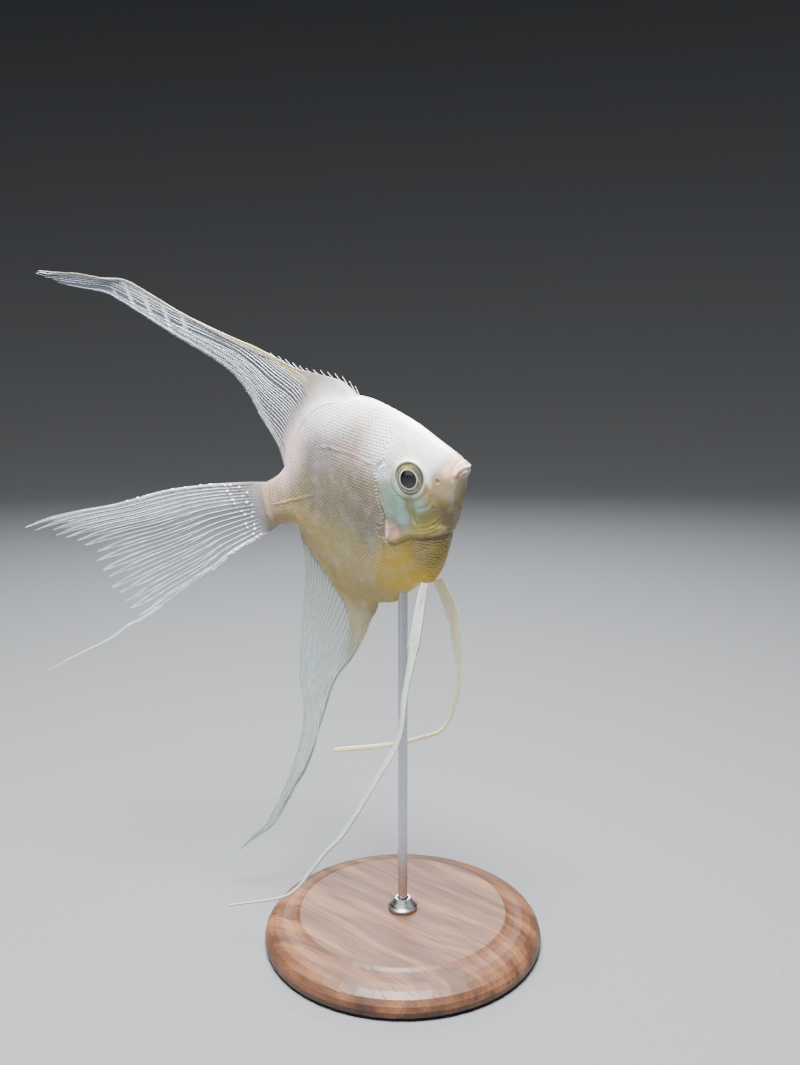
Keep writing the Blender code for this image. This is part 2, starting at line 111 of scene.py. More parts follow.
# %% [markdown]
# ## Outlines
#
# The back, the belly and the thickness are each a smooth curve through a few points.
# A Catmull-Rom curve passes through all its points, so the numbers are real places on
# the fish. They are the same curves that shaped the solids, so the skin fits them.


# %% Smooth curves through points
def curve_through(points, steps=16):
    """A smooth path through points of any dimension."""
    knots = [np.array(p, float) for p in points]
    knots = [2 * knots[0] - knots[1]] + knots + [2 * knots[-1] - knots[-2]]
    path = []
    for a, b, c, d in zip(knots, knots[1:], knots[2:], knots[3:]):
        for k in range(steps):
            t = k / steps
            path.append(0.5 * (2 * b + (c - a) * t + (2 * a - 5 * b + 4 * c - d) * t * t
                               + (3 * b - a - 3 * c + d) * t ** 3))
    path.append(knots[-2])
    return np.array(path)


def profile(points):
    """The height of a smooth outline as a function of s."""
    path = curve_through(points)
    return lambda s: np.interp(s, path[:, 0], path[:, 1])


def along(points):
    """A smooth path as a function of the share of its length."""
    path = curve_through(points)
    steps = np.linalg.norm(np.diff(path, axis=0), axis=1)
    shares = np.concatenate([[0.0], np.cumsum(steps)]) / steps.sum()
    return lambda t: np.stack([np.interp(t, shares, path[:, i]) for i in range(path.shape[1])], axis=-1)


back = profile([(0.0, 0.016), (0.007, 0.032), (0.019, 0.042), (0.036, 0.064),
                (0.10, 0.125), (0.18, 0.203), (0.30, 0.289), (0.38, 0.331), (0.48, 0.360),
                (0.56, 0.370), (0.64, 0.358), (0.71, 0.329), (0.81, 0.250),
                (0.865, 0.165), (0.92, 0.122), (1.0, 0.102), (1.06, 0.108)])
belly = profile([(0.0, 0.001), (0.010, -0.010), (0.026, -0.024), (0.039, -0.044),
                 (0.049, -0.070), (0.059, -0.098), (0.075, -0.131), (0.101, -0.168),
                 (0.120, -0.188), (0.140, -0.205), (0.164, -0.238), (0.209, -0.306),
                 (0.242, -0.348), (0.285, -0.377), (0.36, -0.391), (0.43, -0.417),
                 (0.50, -0.447), (0.58, -0.447), (0.66, -0.454), (0.735, -0.447),
                 (0.79, -0.325), (0.85, -0.205), (0.885, -0.115), (0.92, -0.088),
                 (1.0, -0.078), (1.06, -0.086)])
half_thickness = profile([(0.0, 0.014), (0.008, 0.021), (0.022, 0.028), (0.06, 0.043),
                          (0.12, 0.058), (0.20, 0.073), (0.30, 0.084), (0.40, 0.088),
                          (0.50, 0.084), (0.62, 0.070), (0.75, 0.050), (0.88, 0.034),
                          (0.95, 0.027), (1.0, 0.021), (1.03, 0.012), (1.06, 0.003)])


def middle_height(s):
    """The height where a cross-section is thickest."""
    return 0.008 - 0.018 * ease(0.0, 0.06, s) - 0.015 * np.sin(math.pi * s)


def half_width(s, h):
    """Half the body's thickness at a place on its side."""
    middle = middle_height(s)
    above = h > middle
    rise = np.where(above, (h - middle) / (back(s) - middle), (middle - h) / (middle - belly(s)))
    power = np.where(above, 0.60 + 0.25 * ease(0.30, 0.75, s), 0.45 + 0.50 * ease(0.30, 0.78, s))
    return half_thickness(s) * (1.0 - np.clip(rise, 0.0, 1.0) ** 2) ** power


print("greatest depth in mm:", round(float(back(0.56) - belly(0.56)) * LENGTH * 1000, 1))

# %% [markdown]
# ## Small helpers
#
# Large meshes are quicker to make from arrays of points and faces than point by point.
# A named attribute carries the fish's coordinates to the materials, so a marking stays
# where it is on the fish however the surface turns.


# %% Make a mesh object, and give it attributes
def add_object(name, data):
    """A new object in the scene."""
    item = bpy.data.objects.new(name, data)
    bpy.context.scene.collection.objects.link(item)
    return item


def add_mesh(name, points, faces, material=None):
    """A smooth-shaded mesh object."""
    mesh = bpy.data.meshes.new(name)
    mesh.from_pydata(points, [], faces)
    mesh.shade_smooth()
    if material:
        mesh.materials.append(material)
    return add_object(name, mesh)


def make_piece(name, points, faces, material):
    """The same from points in the fish's frame."""
    return add_mesh(name, to_room(np.asarray(points, float).reshape(-1, 3)).tolist(), faces, material)


def face_outwards(mesh):
    """Turns every face of a closed mesh to look out."""
    bm = bmesh.new()
    bm.from_mesh(mesh)
    bmesh.ops.recalc_face_normals(bm, faces=bm.faces)
    bm.to_mesh(mesh)
    bm.free()


def add_attribute(mesh, name, values):
    """One number, or three, for each point of the mesh."""
    values = np.asarray(values, np.float32)
    is_vector = values.ndim > 1 and values.shape[-1] == 3
    layer = mesh.attributes.new(name, "FLOAT_VECTOR" if is_vector else "FLOAT", "POINT")
    layer.data.foreach_set("vector" if is_vector else "value", values.ravel())


def colour(red, green, blue):
    """A colour as it is named on screen, turned into the light values nodes expect."""
    values = [c / 255.0 for c in (red, green, blue)]
    linear = [c / 12.92 if c <= 0.04045 else ((c + 0.055) / 1.055) ** 2.4 for c in values]
    return (*linear, 1.0)


# %% [markdown]
# ## Node helpers
#
# A node tree written in code is mostly "put this node here and feed it that". These
# helpers keep the trees short: an input may be fed a plain value or another node's
# output, sums and products of outputs are written as plain arithmetic, and the same
# helpers serve shader trees and Geometry Nodes.


# %% Put nodes into a tree and feed them
class Value:
    """A node's output. Sums and products of it put Math nodes into its own tree."""

    def __init__(self, socket):
        self.socket, self.tree = socket, socket.id_data

    def combine(self, operation, first, second):
        flat = self.socket.type not in ("VECTOR", "RGBA")
        return make(self.tree, "ShaderNodeMath" if flat else "ShaderNodeVectorMath", {0: first, 1: second},
                    operation=operation)

    def __add__(self, other):
        return self.combine("ADD", self, other)

    def __sub__(self, other):
        return self.combine("SUBTRACT", self, other)

    def __rsub__(self, other):
        return self.combine("SUBTRACT", other, self)

    def __mul__(self, other):
        return self.combine("MULTIPLY", self, other)

    def __truediv__(self, other):
        return self.combine("DIVIDE", self, other)

    def __rtruediv__(self, other):
        return self.combine("DIVIDE", other, self)

    def split(self):
        """Its three parts."""
        return list(map(Value, put(self.tree, "ShaderNodeSeparateXYZ", {0: self}).outputs))


def wrap(sockets):
    """Node outputs as values, looked up by name or number."""
    values = list(map(Value, sockets))
    return {**{value.socket.name: value for value in reversed(values)}, **dict(enumerate(values))}


def tree_of(*values):
    """The tree that holds the first node output among the values."""
    return next(value.tree for value in values if isinstance(value, Value))


def feed(node, feeds):
    """Feeds a node's inputs, by name or number. Colours are given as on screen."""
    for socket, value in feeds.items():
        target = node.inputs[socket]
        if isinstance(value, Value):
            node.id_data.links.new(value.socket, target)
        else:
            target.default_value = colour(*value) if target.type == "RGBA" else value


def put(tree, kind, feeds=None, **settings):
    """A new node with its settings and its feeds."""
    node = tree.nodes.new(kind)
    for name, value in settings.items():
        setattr(node, name, value)
    feed(node, feeds or {})
    return node


def make(tree, kind, feeds=None, output=0, **settings):
    """One output of a new node."""
    return Value(put(tree, kind, feeds, **settings).outputs[output])


def calc(operation, *values):
    """A Math node's result."""
    return make(tree_of(*values), "ShaderNodeMath", dict(enumerate(values)), operation=operation)


def vector_calc(operation, value, output=0):
    """A Vector Math node's result."""
    return make(value.tree, "ShaderNodeVectorMath", {0: value}, output, operation=operation)


def scaled(vector, factor):
    """A vector drawn out by a factor."""
    feeds = {0: vector, "Scale": factor}
    return make(tree_of(vector, factor), "ShaderNodeVectorMath", feeds, operation="SCALE")


def ramp(value, low, high, out_low=0.0, out_high=1.0):
    """A value eased from one range to another, and held at both ends."""
    feeds = {0: value, 1: low, 2: high, 3: out_low, 4: out_high}
    return make(value.tree, "ShaderNodeMapRange", feeds, interpolation_type="SMOOTHSTEP")


def blend(share, first, second, way="MIX"):
    """Two colours mixed by a share."""
    return make(tree_of(share, first, second), "ShaderNodeMix", {0: share, 6: first, 7: second}, 2,
                data_type="RGBA", blend_type=way)


def noise(vector, scale, detail, roughness=0.5):
    """Smooth random values round one half."""
    feeds = {"Vector": vector, "Scale": scale, "Detail": detail, "Roughness": roughness}
    return make(vector.tree, "ShaderNodeTexNoise", feeds, "Fac")


def wander(vector, scale, detail, reach):
    """Places moved about smoothly, each way by up to half the reach."""
    feeds = {"Vector": vector, "Scale": scale, "Detail": detail}
    return vector + (make(vector.tree, "ShaderNodeTexNoise", feeds, "Color") - (0.5, 0.5, 0.5)) * reach


def read(tree, name, output="Vector"):
    """An attribute of the piece, by its name."""
    return make(tree, "ShaderNodeAttribute", None, output, attribute_name=name)


def new_group(name, kind, inputs, outputs):
    """A node group and its given values. A socket is told by its kind, or by its usual number."""
    tree = bpy.data.node_groups.new(name, kind)
    for in_out, sockets in (("INPUT", inputs), ("OUTPUT", outputs)):
        for label, value in sockets.items():
            socket_kind = {float: "Float", int: "Int"}.get(type(value), value)
            socket = tree.interface.new_socket(label, in_out=in_out, socket_type="NodeSocket" + socket_kind)
            if socket_kind != value:
                socket.default_value = value
    return tree, wrap(tree.nodes.new("NodeGroupInput").outputs)


def give(tree, **results):
    """Hands a group's results to its outputs."""
    put(tree, "NodeGroupOutput", results)
    return tree


def shade_stops(value, stops):
    """A colour that follows a value through stops, each a position and a shade."""
    node = put(value.tree, "ShaderNodeValToRGB", {0: value})
    elements = node.color_ramp.elements
    for element, (position, shade) in zip(elements, (stops[0], stops[-1])):
        element.position, element.color = position, colour(*shade)
    for position, shade in stops[1:-1]:
        elements.new(position).color = colour(*shade)
    return Value(node.outputs[0])


def use_group(tree, group, feeds):
    """A shader group placed in a material."""
    return wrap(put(tree, "ShaderNodeGroup", feeds, node_tree=group).outputs)


def finish(material, **feeds):
    """The material, with its Principled shader fed by socket name."""
    feed(material.node_tree.nodes["Principled BSDF"], {k.replace("_", " "): v for k, v in feeds.items()})
    return material


def new_material(name, **feeds):
    """A material with its plain values, and its tree."""
    material = bpy.data.materials.new(name)
    material.use_nodes = True
    return finish(material, **feeds), material.node_tree


def bump(height, distance, strength):
    """A normal from a height."""
    return make(height.tree, "ShaderNodeBump", {"Height": height, "Distance": distance, "Strength": strength})


# %% [markdown]
# ## Markings
#
# A platinum angelfish has no stripes, but it isn't white all over: the forehead and back
# are pearl white, the snout pink and the gill covers blue-green. The flank's warm grey and
# the belly's gold are partly its own tint and partly painted light: the patches low on the
# body are darkened as painted shade, since the light falls from above, and the gold holds
# painted light reflected up from below. A dark band under the gill cover is a painted
# shadow, and a bright spot on the brow a painted highlight. Each is a soft oval patch laid
# over the last, placed in the fish's own coordinates. Skin and scales use the same group,
# so they always carry the same colours.

# %% Soft patches of colour, from the first laid to the last
# the flank's base colour: partly its own warm grey and partly painted shade
FLANK = (126, 115, 88)
# name, colour, centre in s and h, half size, tilt in degrees, strength
MARKINGS = [
    ("tail stem cream", (142, 118, 88), (0.95, 0.03), (0.16, 0.16), 0, 1.0),
    ("rear flank gold", (176, 148, 76), (0.84, -0.12), (0.15, 0.13), 0, 0.75),
    ("lower flank cream", (184, 158, 80), (0.67, -0.30), (0.23, 0.21), -8, 0.9),
    ("upper flank lilac", (138, 130, 136), (0.60, 0.20), (0.20, 0.13), -8, 0.75),
    # partly painted shade: the middle of the flank is darkened where it faces sideways, away from the light
    # above
    ("middle flank grey", (110, 102, 84), (0.46, -0.10), (0.09, 0.24), 6, 0.60),
    ("shoulder mauve", (172, 144, 136), (0.42, 0.16), (0.11, 0.08), 0, 0.65),
    ("back pearl", (246, 242, 244), (0.42, 0.345), (0.40, 0.12), 4, 1.0),
    ("nape pearl", (244, 240, 240), (0.22, 0.20), (0.20, 0.13), 42, 1.0),
    ("rear back pink", (238, 208, 212), (0.82, 0.21), (0.10, 0.17), -40, 0.8),
    ("forehead pearl", (242, 236, 238), (0.13, 0.09), (0.13, 0.09), 30, 0.95),
    ("dorsal root beige", (196, 178, 146), (0.70, 0.425), (0.15, 0.060), 38, 0.6),
    ("rear belly edge", (176, 160, 100), (0.85, -0.33), (0.050, 0.190), -32, 0.8),
    ("anal root cream", (198, 192, 148), (0.80, -0.56), (0.14, 0.15), -20, 0.9),
    # gold: partly the fish's own tint and partly painted light reflected up from below
    ("belly gold", (212, 172, 10), (0.34, -0.34), (0.22, 0.15), -8, 1.0),
    ("breast olive", (158, 134, 40), (0.21, -0.25), (0.10, 0.10), -50, 0.85),
    ("lower cheek olive", (124, 117, 56), (0.15, -0.12), (0.13, 0.11), -30, 0.95),
    ("chin brown", (108, 90, 60), (0.10, -0.15), (0.07, 0.05), -40, 0.8),
    ("snout base cream", (164, 144, 112), (0.085, -0.03), (0.07, 0.06), 0, 0.75),
    ("gill cover green", (118, 148, 132), (0.295, -0.04), (0.07, 0.12), 0, 0.95),
    ("under the eye green", (124, 164, 152), (0.205, -0.085), (0.032, 0.040), 0, 0.85),
    ("under the eye olive", (112, 104, 70), (0.245, -0.085), (0.020, 0.040), 0, 0.7),
    ("gill corner pearl", (210, 212, 226), (0.325, 0.055), (0.045, 0.035), 0, 0.75),
    ("gill cover pale blue", (150, 174, 180), (0.288, -0.118), (0.032, 0.020), 0, 0.75),
    ("gill edge pink", (234, 172, 150), (0.352, -0.158), (0.030, 0.042), 0, 0.85),
    ("gill rim pearl", (250, 240, 236), (0.373, -0.156), (0.0065, 0.046), -18, 1.0),
    ("cheek edge gold", (190, 158, 70), (0.172, -0.176), (0.040, 0.006), -6, 0.8),
    # painted shadow: a dark band under the lower edge of the gill cover
    ("painted shadow under the gills", (92, 80, 58), (0.200, -0.213), (0.080, 0.008), 0, 0.6),
    ("nostril olive", (150, 138, 88), (0.108, -0.016), (0.014, 0.017), 0, 0.6),
    ("tail base grey", (138, 133, 128), (1.040, 0.010), (0.062, 0.135), 0, 0.95),
    ("tail crease orange", (178, 130, 92), (0.990, 0.000), (0.008, 0.080), 0, 0.35),
    ("snout pink", (250, 192, 176), (0.046, 0.012), (0.048, 0.034), 35, 0.95),
    ("lips pearl", (240, 228, 222), (0.002, 0.006), (0.018, 0.016), 0, 0.8),
    # painted highlight: a bright spot on the brow above the eye
    ("brow painted highlight", (236, 236, 228), (0.215, 0.098), (0.075, 0.030), 0, 0.85),
    ("eye front pearl", (240, 234, 222), (0.142, 0.010), (0.014, 0.040), 0, 0.7),
]


def make_patch_group():
    """1 inside a soft oval and 0 outside it."""
    tree, given = new_group(
        "Soft patch", "ShaderNodeTree",
        {"Place": "Vector", "Centre": "Vector", "Half size": "Vector", "Tilt": 0.0, "Strength": 1.0},
        {"Mask": "Float"})
    offset = given["Place"] - given["Centre"]
    turned = make(tree, "ShaderNodeVectorRotate", {"Vector": offset, "Angle": given["Tilt"]},
                  rotation_type="Z_AXIS")
    distance = vector_calc("LENGTH", turned / given["Half size"], "Value")
    mask = ramp(distance, 1.35, 0.35)
    return give(tree, Mask=mask * given["Strength"])


patch_group = make_patch_group()


def make_markings_group():
    """The colour of skin or scale at a place on the fish."""
    tree, given = new_group("Angelfish markings", "ShaderNodeTree", {"Place": "Vector"}, {"Color": "Color"})
    at = wander(given["Place"], 9.0, 3.0, (0.05, 0.05, 0.0))
    result = FLANK
    for _, shade, centre, size, tilt, strength in MARKINGS:
        feeds = {"Place": at, "Centre": (*centre, 0.0), "Half size": (*size, 10.0),
                 "Tilt": math.radians(tilt), "Strength": strength}
        mask = use_group(tree, patch_group, feeds)["Mask"]
        result = blend(mask, result, shade)
    blotch = ramp(noise(given["Place"], 26.0, 3.0), 0.35, 0.75, 0.94, 1.04)
    blotch = make(tree, "ShaderNodeCombineColor", {0: blotch, 1: blotch, 2: blotch})
    return give(tree, Color=blend(1.0, result, blotch, "MULTIPLY"))


def make_shimmer_group():
    """Fine blue and pink flecks, as the silver layer in fish skin gives."""
    tree, given = new_group(
        "Pearl shimmer", "ShaderNodeTree",
        {"Color": "Color", "Place": "Vector", "Strength": 0.3},
        {"Color": "Color", "Grain": "Float"})
    cool = ramp(noise(given["Place"], 17.0, 4.0), 0.46, 0.74)
    warm = ramp(noise(given["Place"] + (3.0, 1.0, 0.0), 21.0, 4.0), 0.46, 0.74)
    shade = blend(cool * given["Strength"], given["Color"], (205, 222, 232))
    shade = blend(warm * given["Strength"], shade, (240, 214, 208))
    grain = noise(given["Place"], 320.0, 2.0)
    return give(tree, Color=shade, Grain=grain)


BREAST_LINE_STEP = 0.0118


def make_breast_group():
    """Fine dark wavy lines between the rows of small scales on the breast."""
    tree, given = new_group("Breast lines", "ShaderNodeTree", {"Color": "Color", "Place": "Vector"},
                            {"Color": "Color", "Line": "Float"})
    back_way, up, _ = given["Place"].split()
    behind = calc("MAXIMUM", back_way - 0.19, 0.0)
    bend = calc("MULTIPLY_ADD", behind * behind, 2.2, back_way * 0.2)
    scallop = calc("SINE", back_way * 420.0) * 0.0012
    stray = (noise(given["Place"], 34.0, 3.0) - 0.5) * 0.02
    height = up - bend + (scallop + stray)
    wave = calc("SINE", height * (2.0 * math.pi / BREAST_LINE_STEP))
    line = (ramp(wave, 0.0, 0.85) * ramp(up, -0.205, -0.216) * ramp(back_way, 0.37, 0.27)
            * ramp(noise(given["Place"], 22.0, 2.0), 0.3, 0.55, 0.35, 1.0))
    dark = blend(1.0, given["Color"], (124, 96, 60), "MULTIPLY")
    return give(tree, Color=blend(line * 0.72, given["Color"], dark), Line=line)


markings_group = make_markings_group()
shimmer_group = make_shimmer_group()
breast_group = make_breast_group()
SHIMMER = 0.13


def body_finish(tree):
    """The place on the fish, and the body's own markings and shimmer there."""
    at = read(tree, "place")
    shade = use_group(tree, markings_group, {"Place": at})["Color"]
    return at, use_group(tree, shimmer_group, {"Color": shade, "Place": at, "Strength": SHIMMER})


print("markings:", len(MARKINGS), "patches over the flank's grey")

# %% [markdown]
# ## Skin
#
# The body is a closed skin of rings round the fish, crowded at the head where the form
# is finest. It could be sculpted by hand, but a formula for each fold keeps both sides
# alike and every fold adjustable: the folds are distances to short curves on the side of
# the fish, turned into ridges, grooves and steps that push the skin in or out along its
# own normal. It lies a scale's thickness inside the solids.

# %% The skin's grid of places
SKIN_STATIONS = 300
SKIN_RING = 320
SKIN_DEPTH = 0.0020
SNOUT_AT = -0.003
SNOUT_ROUND = 0.012
SKIN_END = 1.035
LIP_HEIGHT = 0.0085


def skin_places():
    """s, h and w for each ring, from the keel up the right side and down the left."""
    share = np.linspace(0.0, 1.0, SKIN_STATIONS)
    s = (SNOUT_AT + (SKIN_END - SNOUT_AT) * share ** 1.5)[:, None]
    angle = np.linspace(-0.5, 1.5, SKIN_RING + 1)[None, :]
    side = np.where(angle <= 0.5, 1.0, -1.0)
    climb = np.where(angle <= 0.5, angle, 1.0 - angle)
    rise = 0.3 * (2.0 * climb) + 0.7 * np.sin(math.pi * climb)
    middle = middle_height(s)
    reach = np.where(rise > 0, back(s) - middle, middle - belly(s)) - SKIN_DEPTH
    h = middle + rise * reach
    w = side * np.maximum(half_width(s, h) - SKIN_DEPTH, 0.0) * (1.0 - np.abs(rise) ** 40)
    near_tip = np.clip((s - SNOUT_AT) / SNOUT_ROUND, 0.0, 1.0)
    roundness = np.sqrt(1.0 - (1.0 - near_tip) ** 2)
    h = LIP_HEIGHT + (h - LIP_HEIGHT) * roundness
    return s + 0.0 * h, h, w * roundness, rise + 0.0 * h


skin_s, skin_h, skin_w, skin_rise = skin_places()
print("skin grid:", skin_s.shape)


# %% Distances to curves on the side of the fish
def distance_to(points, s, h):
    """Distance to a smooth curve, the share along it, and 1 where its left side lies."""
    path = curve_through(points, 5)
    best = np.full(s.shape, 9.0)
    share = np.zeros(s.shape)
    left = np.zeros(s.shape)
    for i, (a, b) in enumerate(zip(path, path[1:])):
        run = b - a
        t = np.clip(((s - a[0]) * run[0] + (h - a[1]) * run[1]) / (run @ run), 0.0, 1.0)
        away_s = s - a[0] - t * run[0]
        away_h = h - a[1] - t * run[1]
        far = np.hypot(away_s, away_h)
        nearer = far < best
        best = np.where(nearer, far, best)
        share = np.where(nearer, (i + t) / (len(path) - 1), share)
        left = np.where(nearer, np.where(run[0] * away_h - run[1] * away_s > 0, 1.0, -1.0), left)
    return best, share, left


def fold(points, s, h, width, fade):
    """1 on a curve, falling away within a width, and fading out at its ends."""
    far, share, _ = distance_to(points, s, h)
    ends = ease(0.0, fade, share) * (1.0 - ease(1.0 - fade, 1.0, share))
    return np.exp(-(far / width) ** 2) * ends


def mound(s, h, centre, size):
    """A soft round rise."""
    return np.exp(-((s - centre[0]) / size[0]) ** 2 - ((h - centre[1]) / size[1]) ** 2)


# %% [markdown]
# ## Folds of the head
#
# An angelfish's mouth is a short slit under a pouting upper lip. Behind the eye come the
# edge of the cheek, then the gill cover, whose free rear edge stands over the shoulder.
# Under the cheek the gill membrane is pleated over its rays, and the breast begins
# below it with a notch in the profile.

# %% Curves of the head and flank, in s and h
EYE_AT = (0.215, 0.014)
MOUTH = [(-0.010, 0.005), (0.006, 0.003), (0.018, -0.001), (0.030, -0.010), (0.039, -0.024)]
UPPER_LIP = [(-0.008, 0.013), (0.006, 0.012), (0.020, 0.008), (0.034, -0.002), (0.045, -0.020)]
LOWER_LIP = [(-0.004, -0.004), (0.008, -0.006), (0.019, -0.013), (0.029, -0.023)]
JAW_FOLD = [(0.016, 0.037), (0.030, 0.030), (0.044, 0.014), (0.052, -0.008), (0.056, -0.034)]
CHIN_EDGE = [(0.050, -0.052), (0.060, -0.080), (0.074, -0.112), (0.096, -0.146), (0.122, -0.174)]
CHEEK_EDGE = [(0.262, -0.010), (0.228, -0.050), (0.226, -0.079), (0.236, -0.106), (0.240, -0.138),
              (0.226, -0.160)]
CHEEK_BONE = [(0.140, -0.050), (0.158, -0.086), (0.190, -0.098), (0.218, -0.094)]
GILL_EDGE = [(0.286, 0.078), (0.318, 0.081), (0.337, 0.066), (0.348, 0.025), (0.360, -0.033),
             (0.357, -0.103), (0.373, -0.145), (0.386, -0.180), (0.372, -0.200), (0.330, -0.198),
             (0.281, -0.190), (0.244, -0.197), (0.206, -0.204), (0.171, -0.206), (0.147, -0.203),
             (0.120, -0.190)]
GILL_FOLDS = [
    [(0.262, -0.176), (0.240, -0.184), (0.205, -0.187), (0.168, -0.181), (0.140, -0.168)],
    [(0.252, -0.164), (0.226, -0.174), (0.196, -0.175), (0.164, -0.166), (0.136, -0.150)],
    [(0.236, -0.156), (0.214, -0.162), (0.190, -0.161), (0.162, -0.150), (0.140, -0.134)],
]
CHEEK_WRINKLES = [
    [(0.128, -0.118), (0.146, -0.106), (0.166, -0.112), (0.176, -0.128)],
    [(0.120, -0.128), (0.146, -0.118), (0.160, -0.124), (0.166, -0.138)],
    [(0.122, -0.140), (0.144, -0.131), (0.154, -0.138), (0.154, -0.150)],
]
NOSTRIL = (0.108, -0.016)
LATERAL_LINE = [(0.337, 0.072), (0.384, 0.106), (0.440, 0.135), (0.514, 0.165), (0.591, 0.187),
                (0.680, 0.190)]
LOWER_LATERAL_LINE = [(0.700, 0.020), (0.80, 0.012), (0.90, 0.010), (0.985, 0.006)]
TAIL_CREASE = [(1.000, 0.105), (0.990, 0.072), (0.979, -0.016), (1.002, -0.074)]
PECTORAL_ROOT = (0.405, -0.155)
FEELER_ROOT = (0.300, -0.384)


# curve, height of the ridge or, where negative, depth of the groove, width, share that fades at each end
FOLDS = [
    (MOUTH, -0.0030, 0.0030, 0.10),
    (UPPER_LIP, 0.0028, 0.0060, 0.15),
    (LOWER_LIP, 0.0026, 0.0055, 0.15),
    (JAW_FOLD, -0.0022, 0.0045, 0.15),
    (CHIN_EDGE, -0.0022, 0.0050, 0.15),
    (CHEEK_EDGE, -0.0028, 0.0050, 0.15),
    (CHEEK_BONE, -0.0014, 0.0060, 0.15),
    (LATERAL_LINE, 0.0014, 0.0045, 0.20),
    (LOWER_LATERAL_LINE, 0.0012, 0.0045, 0.20),
]
FOLDS += [(path, 0.0017, 0.0036, 0.30) for path in GILL_FOLDS]
FOLDS += [(path, -0.0009, 0.0028, 0.30) for path in CHEEK_WRINKLES]
# what swells, centre, size along and up, height
MOUNDS = [
    ("lower jaw", (0.040, -0.040), (0.012, 0.016), 0.0016),
    ("cheek", (0.175, -0.078), (0.045, 0.050), 0.0040),
    ("gill cover", (0.295, -0.055), (0.045, 0.085), 0.0022),
    ("pectoral root", (0.400, PECTORAL_ROOT[1]), (0.020, 0.034), 0.0022),
    ("feeler root", FEELER_ROOT, (0.030, 0.022), 0.0050),
]
EYE_HOLLOW, EYE_HOLLOW_EDGE = 0.024, (0.052, 0.063)
EYE_RIM, EYE_RIM_RADIUS, EYE_RIM_WIDTH = 0.0022, 0.070, 0.007
GILL_LIFT, GILL_LIFT_WIDTH = 0.0045, 0.030
GILL_DROP, GILL_DROP_WIDTH = 0.0042, 0.011
NOSTRIL_DEPTH, NOSTRIL_RADIUS = 0.0050, 0.0050
NOSTRIL_RIM, NOSTRIL_RIM_RADIUS, NOSTRIL_RIM_WIDTH = 0.0007, 0.0095, 0.0030
CREASE_DEPTH, CREASE_WIDTH = 0.0012, 0.014
MUSCLE_HEIGHT, MUSCLES_PER_LENGTH = 0.0004, 95.0


def sculpt(s, h):
    """How far each place is pushed out along its normal, as a share of the length."""
    push = sum(height * fold(path, s, h, width, fade) for path, height, width, fade in FOLDS)
    push += sum(height * mound(s, h, centre, size) for _, centre, size, height in MOUNDS)
    eye_gap = np.hypot(s - EYE_AT[0], h - EYE_AT[1])
    push -= EYE_HOLLOW * (1.0 - ease(*EYE_HOLLOW_EDGE, eye_gap))
    push += EYE_RIM * np.exp(-((eye_gap - EYE_RIM_RADIUS) / EYE_RIM_WIDTH) ** 2)
    far, share, left = distance_to(GILL_EDGE, s, h)
    ends = ease(0.0, 0.10, share) * (1.0 - ease(0.93, 1.0, share))
    inside = np.where(left < 0, 1.0, 0.0)
    lift = inside * np.exp(-(far / GILL_LIFT_WIDTH) ** 2) * ease(0.0, 0.004, far + 0.002)
    drop = (1.0 - inside) * np.exp(-(far / GILL_DROP_WIDTH) ** 2)
    push += ends * (GILL_LIFT * lift - GILL_DROP * drop)
    nostril_gap = np.hypot(s - NOSTRIL[0], (h - NOSTRIL[1]) / 1.25)
    push -= NOSTRIL_DEPTH * np.exp(-(nostril_gap / NOSTRIL_RADIUS) ** 2)
    push += NOSTRIL_RIM * np.exp(-((nostril_gap - NOSTRIL_RIM_RADIUS) / NOSTRIL_RIM_WIDTH) ** 2)
    far, _, _ = distance_to(TAIL_CREASE, s, h)
    push -= CREASE_DEPTH * np.exp(-(far / CREASE_WIDTH) ** 2)
    flank = ease(0.40, 0.50, s) * (1.0 - ease(0.88, 0.98, s)) * (1.0 - ease(0.12, 0.30, np.abs(h)))
    push += MUSCLE_HEIGHT * flank * np.sin((s + 0.35 * np.abs(h + 0.02)) * MUSCLES_PER_LENGTH)
    return push


# %% Push the folds into the grid and measure normals
def grid_normals(points):
    """Outward unit normals of the closed rings."""
    ring = points[:, :-1]
    round_way = np.roll(ring, -1, axis=1) - np.roll(ring, 1, axis=1)
    back_way = np.gradient(ring, axis=0)
    normals = np.cross(round_way, back_way)
    normals /= np.maximum(np.linalg.norm(normals, axis=-1, keepdims=True), 1e-12)
    return np.concatenate([normals, normals[:, :1]], axis=1)


skin_points = place(skin_s, skin_h, skin_w)
skin_push = sculpt(skin_s, skin_h)
skin_push[0] = skin_push[-1] = 0.0
skin_points = skin_points + grid_normals(skin_points) * skin_push[..., None] * LENGTH
print("folds push the skin, in mm:", (skin_push.min() * LENGTH * 1000).round(2), "to",
      (skin_push.max() * LENGTH * 1000).round(2))

# %% [markdown]
# ## The skin's mesh, its flat map and its lie of scales
#
# The map OFBake lays each side of the skin out flat by its own lengths: along the fish
# one way, and round its girth the other. The scales are later placed on this same map.
# Each point also carries the way a scale's free end points there: towards the tail on
# the flank, turning down on the breast, where the small scales lie in wavy rows.

# %% Masks for scales and the way they lie
MAP_SCALE = 0.44
BREAST_TOP = -0.19
BREAST_REAR = (0.325, 0.365)
BREAST_LIE = math.radians(-78.0)
EYE_SKIN = (0.076, 0.084)
GILL_GAP = 0.002


def gill_rear(h):
    """Where the gill cover ends, for a height."""
    heights, rears = zip((-0.50, 0.345), (-0.20, 0.345), (-0.192, 0.388), (-0.145, 0.373), (-0.103, 0.357),
                         (-0.033, 0.360), (0.025, 0.348), (0.066, 0.337), (0.085, 0.30), (0.13, 0.275),
                         (0.20, 0.235), (0.40, 0.20))
    return np.interp(h, heights, rears)


def membrane_edge(s):
    """The height of the gill membrane's lower edge."""
    ways, heights = zip((0.10, -0.185), (0.147, -0.204), (0.171, -0.207), (0.206, -0.205), (0.244, -0.198),
                        (0.281, -0.191), (0.330, -0.199), (0.372, -0.201), (0.392, -0.190))
    return np.interp(s, ways, heights)


